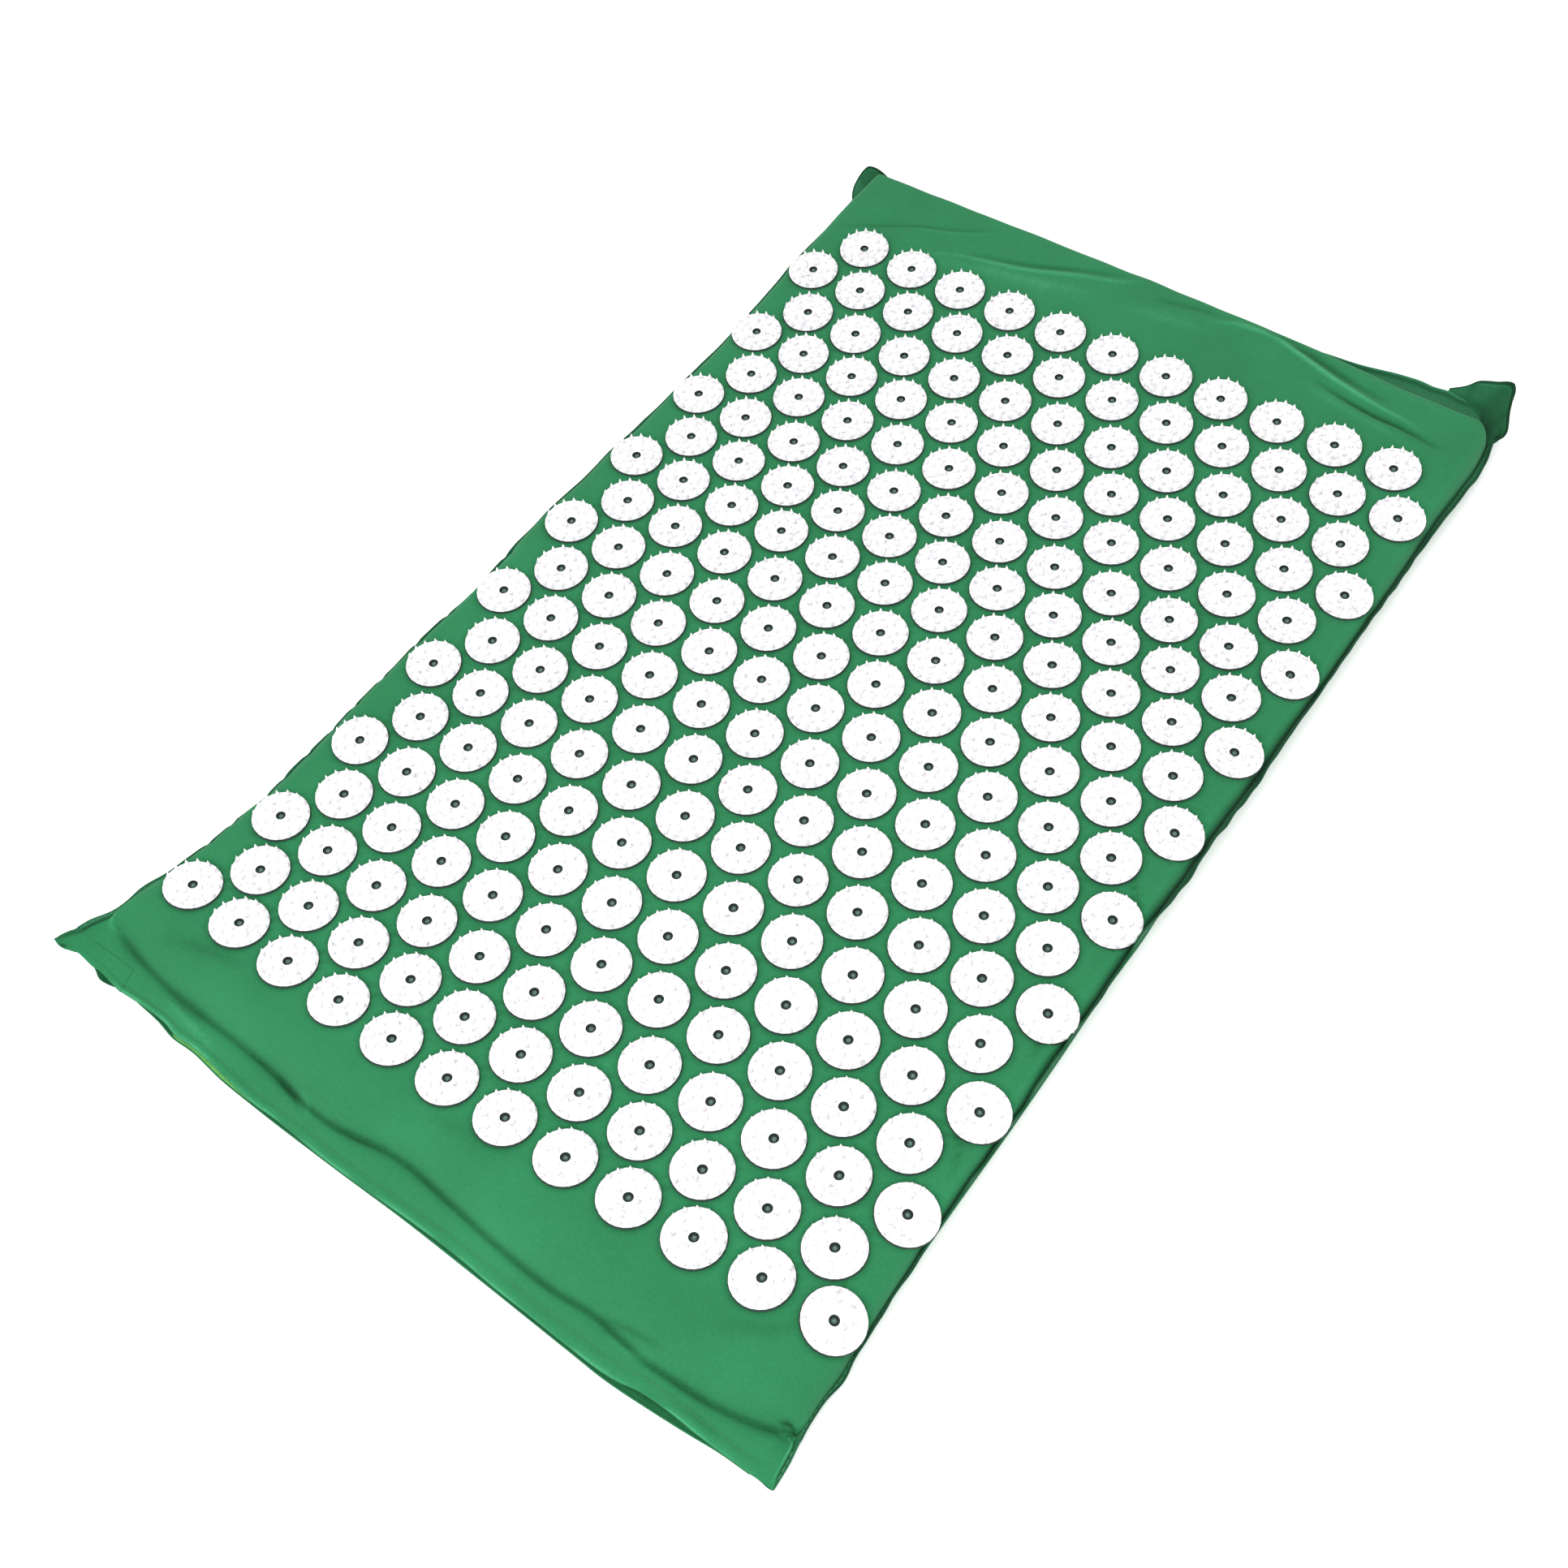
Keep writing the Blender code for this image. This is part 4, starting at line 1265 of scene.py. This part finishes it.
def makeEar(name, node, side, creases, hollow, shade):
    root, outer = earSet[side + "Root"], earSet[side + "Outer"]
    steps = earSet["steps"]

    def hollowAt(across, out):
        return bell(across, hollow[0], 0.07) * bell(out, hollow[1], 0.14)

    def shape(column, row):
        across, out = column / steps, row / steps
        start, end = pathThrough(root, across), pathThrough(outer, across)
        body = np.clip(out / 0.88, 0, 1)
        points = start + (end - start) * body[:, None]
        wave = sum(depth * mm * bell(across, at, wide) for at, depth, wide in creases)
        points[:, 1] += wave * np.sin(math.pi * np.clip(body, 0, 1) * 0.75)
        points[:, 2] -= 1.5 * mm * hollowAt(across, out)
        curl = np.clip((out - 0.88) / 0.12, 0, 1) * math.pi * 1.2
        points[:, 1] += earSet["roll"] * (1 - np.cos(curl)) * 0.6
        points[:, 2] += earSet["roll"] * (np.sin(curl) * 0.5 - (1 - np.cos(curl)) * 0.5)
        return points

    def paintedShading(column, row):
        # painted light: highlight and shade on the rim, a lighter and a darker facet, light and shade on the
        # creases, shade towards the root and in the hollow
        across, out = column / steps, row / steps
        fold = sum(bell(across, at, 0.5 * wide) * np.sign(-depth) for at, depth, wide in creases)
        rim = 0.25 * bell(out, 0.79, 0.03) - 0.8 * (out > 0.83)
        facet = 0.30 * ease((0.42 - across) / 0.06) - 0.16 * ease((across - 0.44) / 0.08)
        return shade + rim + facet + 0.2 * fold - 0.3 * ease((0.4 - out) / 0.4) - 0.9 * hollowAt(across, out)

    piece = gridPiece(name, steps, steps, shape, [shadedSeamCotton], 1.2 * mm, 0.0, paintedShading)
    return declare(piece, node)


# Mouth: the lips, their hems, the corners where they are sewn together, and the tape between them

# Each rim is drawn as places across and heights along it, in mm
mouthSet = {
    "upperRim": [
        (-228, -350.4), (-221, -348.0), (-213, -347.7), (-208, -349.2), (-203, -348.7), (-196, -347.8),
        (-186, -346.9), (-175, -347.0), (-164, -347.8), (-155, -349.6), (-145, -349.3),
        (-129, -350.6), (-117, -352.2), (-100, -354.0), (-86, -354.0), (-52, -355.8), (0, -356.0), (29, -356.5),
        (54, -358.5), (76, -359.5), (98, -360.6), (118, -361.2), (128, -360.5), (136, -359.0), (151, -358.6),
        (169, -359.4), (180, -359.5), (196, -359.5),
    ],
    "upperHeight": [
        (-228, 17.6), (-220, 15.5), (-213, 14.0), (-208, 13.0), (-204, 12.0), (-196, 8.6), (-186, 6.6),
        (-175, 7.2), (-164, 8.2), (-150, 7.2), (-129, 6.0), (-99, 4.8), (-51, 3.8),
        (0, 3.6), (50, 4.2), (80, 4.6), (118, 5.4), (136, 6.8), (155, 6.8), (175, 5.2), (196, 4.2),
    ],
    "lowerRim": [
        (-197, -347.9), (-192, -346.9), (-184, -347.4), (-171, -348.6), (-159, -351.0), (-146, -351.0),
        (-123, -353.8), (-102, -355.0), (-50, -356.6), (0, -357.5), (52, -359.8), (80, -361.2), (99, -362.2),
        (119, -363.2), (145, -362.4), (166, -361.2), (178, -360.2), (196, -360.0),
    ],
    "lowerHeight": [
        (-197, 4.4), (-184, 2.6), (-171, 1.3), (-150, 0.9), (-100, 0.6), (0, 0.5), (100, 0.8), (150, 1.0),
        (196, 0.7),
    ],
    "folds": {
        "notch": ([(-98, -338.5), (-91, -340.8), (-82, -342.5), (-76, -345.5)], -1.1, 1.2),
        "notchBeside": ([(-80, -339.5), (-74, -341.5), (-68, -347)], 0.7, 1.6),
        "grooveEnd": ([(104, -345.5), (116, -343.6), (128, -342.4), (140, -341.6)], -0.9, 1.5),
        "leftRidge": ([(-172, -339), (-150, -343), (-132, -347)], 0.7, 2.6),
        "rightRidge": ([(112, -349), (124, -350), (136, -347.5)], 0.8, 1.8),
        "rightTuck": ([(150, -357), (163, -355), (180, -356)], -0.5, 2.0),
    },
    "hem": 1.1 * mm,
    "lowerHem": 0.6 * mm,
    "hemLine": 0.79,      # how far towards the rim the hem's stitching runs
    "puff": 1.0 * mm,
    "tip": (-234.6, -349.5, 22.8),
    "tipLower": (-234.6, -349.5, 21.2),
    "leftRim": [
        (-195.3, -348.7, 7.4), (-199.5, -348.4, 9.8), (-204.8, -347.7, 12.4), (-209, -347.3, 13.6),
        (-212.4, -347.8, 14.0), (-216.5, -347.6, 15.6), (-220.2, -347.3, 17.0), (-223.4, -347.5, 18.5),
        (-226.5, -349.7, 20.4), (-230.5, -350.5, 21.7), (-234.6, -349.5, 22.8),
    ],
    "leftLowerRim": [
        (-195.3, -347.7, 4.2), (-199.1, -347.9, 5.0), (-205.1, -349.4, 6.0), (-210.4, -349.7, 7.0),
        (-213.2, -348.0, 9.5), (-216.5, -346.6, 13.0), (-221, -346.6, 16.0), (-226.5, -348.9, 18.3),
        (-230.5, -350.0, 19.7), (-234.6, -349.5, 21.2),
    ],
    "rightRim": [(195.3, -360.5, 3.1), (201, -360.4, 3.6), (205.0, -360.5, 3.8), (207.6, -360.6, 3.4)],
    "rightLowerRim": [(195.3, -360.0, 0.8), (201, -360.2, 0.9), (205, -360.7, 1.4), (207.6, -360.6, 2.2)],
    "rightOuter": [
        (204.5, -338.0, 6.7), (204.4, -339.5, 6.8), (205.2, -343.0, 6.4), (205.7, -347.4, 5.8),
        (206.3, -353.5, 4.8), (207.6, -360.6, 3.4),
    ],
    "rightLowerOuter": [
        (204.5, -338.0, 2.4), (204.4, -339.5, 2.3), (205.2, -343.0, 2.2), (205.7, -347.4, 2.1),
        (206.3, -353.5, 2.0), (207.6, -360.6, 2.2),
    ],
    "hemTurn": 1.37,      # how far round its hem the lip's rim shows furthest out
}


def hemShape(t):
    # a shallow groove along the hem's stitching and a fuller fold beside the rim
    return 0.35 * mm * bell(t, 0.93, 0.05) - 0.5 * mm * bell(t, mouthSet["hemLine"], 0.05)


def upperLipPoint(x, t):
    # t runs from 0 at the crease to 1 at the rim and a little further, where the hem curls under
    rimY = curveThrough(mouthSet["upperRim"], x / mm) * mm
    flat = np.clip(t, 0, 1)
    y = creaseY + (rimY - creaseY) * flat
    start = creaseHeight(x)
    z = start + (topHigh.z + swell(x, y) - start) * mouthRise(x, y) + lipSlope(x, y) - grooveShape(x, y)
    z = z + foldHeight(x, y, mouthSet["folds"]) * ease(flat / 0.15) + hemShape(flat) * ease(flat / 0.3)
    curl = np.clip(t - 1, 0, 1) * math.pi * 1.35
    y = y - mouthSet["hem"] * np.sin(curl)
    z = z - mouthSet["hem"] * (1 - np.cos(curl))
    return np.c_[x, y, z]


# painted light on the upper lip: a painted highlight along the rim, painted shade along the groove, the hem's
# stitching and under the hem, and light and shade on its folds
def lipPaintedShading(x, t):
    y = upperLipPoint(x, t)[:, 1]
    rim = 0.8 * bell(t, 1.1, 0.11) * np.clip(0.7 + 0.5 * ripple(x, 43, 40 * mm), 0, 1)
    hem = 0.12 * bell(t, mouthSet["hemLine"], 0.05)
    under = 0.5 * ease((t - 1.25) / 0.2)
    fold = 0.35 * foldHeight(x, y, mouthSet["folds"]) / mm
    return rim + grooveShade(x, y) - hem - under + fold


lipReach = lipHigh.x - 0.2 * mm
lipStations = np.r_[np.linspace(0, 1, 24), 1 + np.linspace(0, 1, 9)[1:]]


def halfOfLip(side, steps, reach):
    # columns of one half of the lip, always from left to right
    return np.linspace(-reach, 0, steps) if side < 0 else np.linspace(0, reach, steps)


def turnWithLip(piece, node):
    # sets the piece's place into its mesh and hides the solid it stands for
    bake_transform(piece)
    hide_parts(node)
    return piece


def makeUpperLip(name, side):
    xs = halfOfLip(side, 150, lipReach)
    rows = len(lipStations) - 1

    def shape(column, row):
        return upperLipPoint(xs[column], lipStations[rows - row])

    def paintedShading(column, row):
        return lipPaintedShading(xs[column], lipStations[rows - row])

    piece = gridPiece(name, len(xs) - 1, rows, shape, [cotton], coverSet["thickness"], paintedShading=paintedShading)
    applyModifiers(piece)
    return turnWithLip(piece, "mouth_upper_lip")


def lowerLipPoint(x, t):
    rimY = curveThrough(mouthSet["lowerRim"], x / mm) * mm
    rimZ = curveThrough(mouthSet["lowerHeight"], x / mm) * mm
    flat = np.clip(t, 0, 1)
    y = creaseY + (rimY - creaseY) * flat
    z = rimZ * ease(flat) + 0.2 * mm * (1 + ripple(x, 51, 60 * mm)) * ease(flat)
    curl = np.clip(t - 1, 0, 1) * math.pi * 1.3
    hem = mouthSet["lowerHem"]
    return np.c_[x, y - hem * np.sin(curl), z + hem * (1 - np.cos(curl))]


def makeLowerLip():
    xs = np.linspace(-lipReach, lipReach, 200)
    stations = np.r_[np.linspace(0, 1, 12), 1 + np.linspace(0, 1, 7)[1:]]
    rows = len(stations) - 1

    def shape(column, row):
        return lowerLipPoint(xs[column], stations[rows - row])

    def paintedShading(column, row):
        # the lower lip is darkened by painted shade, a little less on its hem's curl
        return 0.1 * (stations[rows - row] > 1.2) - 0.45

    piece = gridPiece("lowerLip", len(xs) - 1, rows, shape, [cotton], coverSet["thickness"], 1.0, paintedShading)
    return declare(piece, "mouth_lower_lip")


tapeSet = {
    "width": 14 * mm,
    "thickness": 1.2 * mm,
    "inset": 3.0 * mm,         # how far the tapes' outer edges lie inside the rims
    "shows": (-158, -104),     # the hook tape reaches the rim here, and shows in the gap of the mouth
    "rows": 6,
}


def hookShape(xs):
    def shape(column, row):
        x = xs[column]
        rim = curveThrough(mouthSet["lowerRim"], x / mm) * mm
        low, high = tapeSet["shows"]
        hidden = ease((low * mm - x) / (3 * mm)) + ease((x - high * mm) / (30 * mm))
        outer = np.maximum(rim + 0.2 * mm + (tapeSet["inset"] - 0.2 * mm) * np.clip(hidden, 0, 1), lipEdge)
        inner = np.minimum(outer + tapeSet["width"], creaseY - 1.5 * mm)
        y = outer + (inner - outer) * row / tapeSet["rows"]
        share = (creaseY - y) / (creaseY - rim)
        z = lowerLipPoint(x, share)[:, 2] + coverSet["thickness"] + tapeSet["thickness"] / 2 + 0.15 * mm
        return np.c_[x, y, z]
    return shape


def loopShape(xs):
    def shape(column, row):
        x = xs[column]
        rim = curveThrough(mouthSet["upperRim"], x / mm) * mm
        outer = rim + tapeSet["inset"] - 1 * mm
        inner = np.minimum(outer + tapeSet["width"], np.minimum(creaseY, grooveAt(x)) - 3.5 * mm)
        y = outer + (inner - outer) * row / tapeSet["rows"]
        share = (creaseY - y) / (creaseY - rim)
        z = upperLipPoint(x, share)[:, 2] - coverSet["thickness"] - tapeSet["thickness"] / 2 - 0.25 * mm
        return np.c_[x, y, z]
    return shape


def makeTapes():
    thickness, rows = tapeSet["thickness"], tapeSet["rows"]
    xs = np.linspace(hookLow.x, hookHigh.x, 120)
    hook = gridPiece("hookTape", len(xs) - 1, rows, hookShape(xs), [hookMaterial], thickness, 0.0)
    declare(hook, "mouth_hook_tape")
    tapes = [hook]
    for name, side in (("loopTapeLeft", -1), ("loopTapeRight", 1)):
        xs = halfOfLip(side, 70, loopHigh.x)
        loop = gridPiece(name, len(xs) - 1, rows, loopShape(xs), [loopMaterial], thickness, 0.0)
        applyModifiers(loop)
        tapes.append(turnWithLip(loop, "mouth_loop_tape"))
    return tapes


def makeHemStitches():
    for name, side in (("hemStitchesLeft", -1), ("hemStitchesRight", 1)):
        xs = halfOfLip(side, 160, lipReach - 1 * mm)
        points = upperLipPoint(xs, np.full_like(xs, mouthSet["hemLine"]))
        piece = stitchLine(name, points, hemThread, (0, 0, 0), radius=0.22 * mm)
        turnWithLip(piece, "upper_hem_thread")


def patch(share, t, crease, rim, inner, outer):
    # a cloth stretched between four edges: crease and rim are lines of share, inner and outer its sides at t
    a, b = share[:, None], t[:, None]
    first, last = 0 * share, 0 * share + 1
    plain = crease(first) * (1 - a) * (1 - b) + crease(last) * a * (1 - b)
    plain = plain + rim(first) * (1 - a) * b + rim(last) * a * b
    return crease(share) * (1 - b) + rim(share) * b + inner * (1 - a) + outer * a - plain


# Each mouth corner's mesh, where it begins and ends, its cloth, how its painted shading goes over from the
# lip's, and the painted shade of its lower layer
cornerSet = {
    "left": {
        "half": 36, "rows": 24, "innerX": -lipReach, "outerX": cornerLeft,
        "rims": ("leftRim", "leftLowerRim"), "thickness": 0.6 * mm, "offset": 0.0,
        "lipBlend": 0.25, "lowerPaintedShade": -0.6,
    },
    "right": {
        "half": 24, "rows": 30, "innerX": lipReach, "outerX": cornerRight,
        "rims": ("rightRim", "rightLowerRim"), "thickness": coverSet["thickness"], "offset": -1.0,
        "lipBlend": 0.4, "lowerPaintedShade": -0.4,
    },
}


def makeMouthCorner(name, node, cut, lowerLevel, outers, raised, ownPaintedShading):
    # a sleeve of two layers, open at its rim, between the end of the lips and the sewn side
    half, rows, innerX = cut["half"], cut["rows"], cut["innerX"]

    def creaseX(share):
        return innerX + (cut["outerX"] - innerX) * share

    def upperCrease(share):
        return coverBorder(creaseX(share))

    def lowerCreaseLine(share):
        x = creaseX(share)
        return np.c_[x, np.full_like(x, creaseY), lowerLevel(x, share)]

    def onCloth(column, row):
        # whether a point is on the upper layer, its share of the way to the seam, and to the rim
        on = column <= half
        return on, np.where(on, column, 2 * half + 1 - column) / half, 1 - row / rows

    def shape(column, row):
        on, share, t = onCloth(column, row)
        lipEnd = np.full_like(t, innerX)
        inners = (upperLipPoint(lipEnd, mouthSet["hemTurn"] * t), lowerLipPoint(lipEnd, t))

        def layer(crease, rim, inner, outer):
            start = crease(np.ones(1))[0]
            return patch(share, t, crease, lambda s: pathThrough(mouthSet[rim], s), inner, outer(start, t))

        creases = (upperCrease, lowerCreaseLine)
        above, below = [layer(*edges) for edges in zip(creases, cut["rims"], inners, outers)]
        above[:, 2] += raised(share, t)
        return np.where(on[:, None], above, below)

    def paintedShading(column, row):
        # painted shading: the lip's, blending into the corner's own; the lower layer gets flat painted shade
        on, share, t = onCloth(column, row)
        lip = lipPaintedShading(np.full_like(t, innerX), mouthSet["hemTurn"] * t)
        blend = ease(share / cut["lipBlend"])
        return np.where(on, lip * (1 - blend) + ownPaintedShading(share, t) * blend, cut["lowerPaintedShade"])

    piece = gridPiece(name, 2 * half + 1, rows, shape, [cotton], cut["thickness"], cut["offset"], paintedShading)
    return declare(piece, node)


def makeMouthCornerLeft():
    # the near left corner is dragged out and up to a tip
    def towards(tip):
        return lambda start, t: start + (np.array(mouthSet[tip]) * mm - start) * t[:, None]

    def raised(share, t):
        return 0.9 * mm * np.sin(math.pi * t) * np.sin(math.pi * share) * ripple(share, 71, 0.45)

    def ownPaintedShading(share, t):
        # painted highlight along the rim, painted shade at the seam and in the hollow
        rim = 0.5 * bell(t, 1, 0.04) * (share < 0.8)
        hollow = 0.9 * bell(share, 0.88, 0.035) * bell(t, 0.9, 0.1)
        return rim - 0.5 * bell(share, 1, 0.04) - hollow

    return makeMouthCorner(
        "mouthCornerLeft", "mouth_corner_left", cornerSet["left"], lambda x, share: lowerCrease(x),
        (towards("tip"), towards("tipLower")), raised, ownPaintedShading,
    )


def makeMouthCornerRight():
    # the near right corner lies flat, and a rolled fold runs down it beside the seam
    def along(line):
        return lambda start, t: pathThrough(mouthSet[line], t)

    def roll(share, t):
        # the rolled fold: it bends in over the crease at its top, and runs down beside the seam
        line = 0.90 - 0.75 * np.clip((0.16 - t) / 0.16, 0, 1) ** 2
        fades = 0.35 + 0.65 * ease((0.6 - t) / 0.3)
        return bell(share, line, 0.09) * ease(t / 0.04) * ease((1.0 - t) / 0.25) * fades

    def raised(share, t):
        return 1.2 * mm * roll(share, t)

    def ownPaintedShading(share, t):
        # painted highlight on the rolled fold, painted shade in the hollow by the crease and beside the seam
        hollow = 0.7 * bell(t, 0.03, 0.035) * (share > 0.1) * (share < 0.8)
        beside = 0.9 * bell(share, 0.99, 0.035) * ease((1 - t) / 0.3)
        return 0.5 * roll(share - 0.02, t) - hollow - beside

    piece = makeMouthCorner(
        "mouthCornerRight", "mouth_corner_right", cornerSet["right"],
        lambda x, share: 0.8 * mm + 1.6 * mm * share, (along("rightOuter"), along("rightLowerOuter")),
        raised, ownPaintedShading,
    )
    steps = np.linspace(-0.356, -0.342, 40)
    points = seamTailPoint(1, np.full_like(steps, 0.3), steps)
    stitches = stitchLine("cornerStitches", points, thread, (0, 0, 0.7 * mm), radius=0.38 * mm)
    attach(stitches, "mat")
    return piece


# Making it all

addCamera()
weaveShader = weaveGroup()
mottleShader = mottleGroup()
addStage()
cotton = cottonMaterial("greenCotton")
# a copy of the cotton darkened by painted shade, for the seams, ears and flanges that lie in shade
shadedSeamCotton = cottonMaterial("shadedSeamCotton", darker=0.58)
thread = threadMaterial("sewingThread")
hemThread = threadMaterial("hemThread")
hookMaterial = tapeMaterial("hookTape", (0.115, 0.42, 0.085), 2200.0, 0.7)
loopMaterial = tapeMaterial("loopTape", (0.125, 0.45, 0.095), 1200.0, 0.9)
foam = foamMaterial()
discWhite = discMaterial()
eyelet = eyeletMaterial()
paintedShadow = paintedShadowMaterial()
print("materials ready")

discRows = discPlaces()
coverTop = makeCoverTop()
coverBottom = makeCoverBottom()
makeFoam()
print("cover and foam ready")

makeDiscRows()
print("discs ready")

seamLeft = makeSideSeam("sideSeamLeft", "side_seam_left", -1)
seamRight = makeSideSeam("sideSeamRight", "side_seam_right", 1)
makeSideStitches("sideStitchesLeft", "side_thread_left", -1)
makeSideStitches("sideStitchesRight", "side_thread_right", 1)
farSeam = makeFarSeam()
farRightCreases = [(0.22, 1.4, 0.06), (0.42, -1.2, 0.06), (0.75, 0.9, 0.1)]
farLeftCreases = [(0.4, 0.8, 0.08)]
earRight = makeEar("farRightEar", "far_corner_right", "farRight", farRightCreases, (0.94, 0.6), shade=0.0)
earLeft = makeEar("farLeftEar", "far_corner_left", "farLeft", farLeftCreases, (0.76, 0.74), shade=0.1)
print("sewn edges ready")

lipLeft = makeUpperLip("upperLipLeft", -1)
lipRight = makeUpperLip("upperLipRight", 1)
lowerLip = makeLowerLip()
hookTape, loopLeft, loopRight = makeTapes()
makeHemStitches()
nearLeft = makeMouthCornerLeft()
nearRight = makeMouthCornerRight()
flangeLeft = makeSeamTail("cornerFlangeLeft", "mouth_corner_left", -1)
flangeRight = makeSeamTail("cornerFlangeRight", "mouth_corner_right", 1)
print("mouth ready")
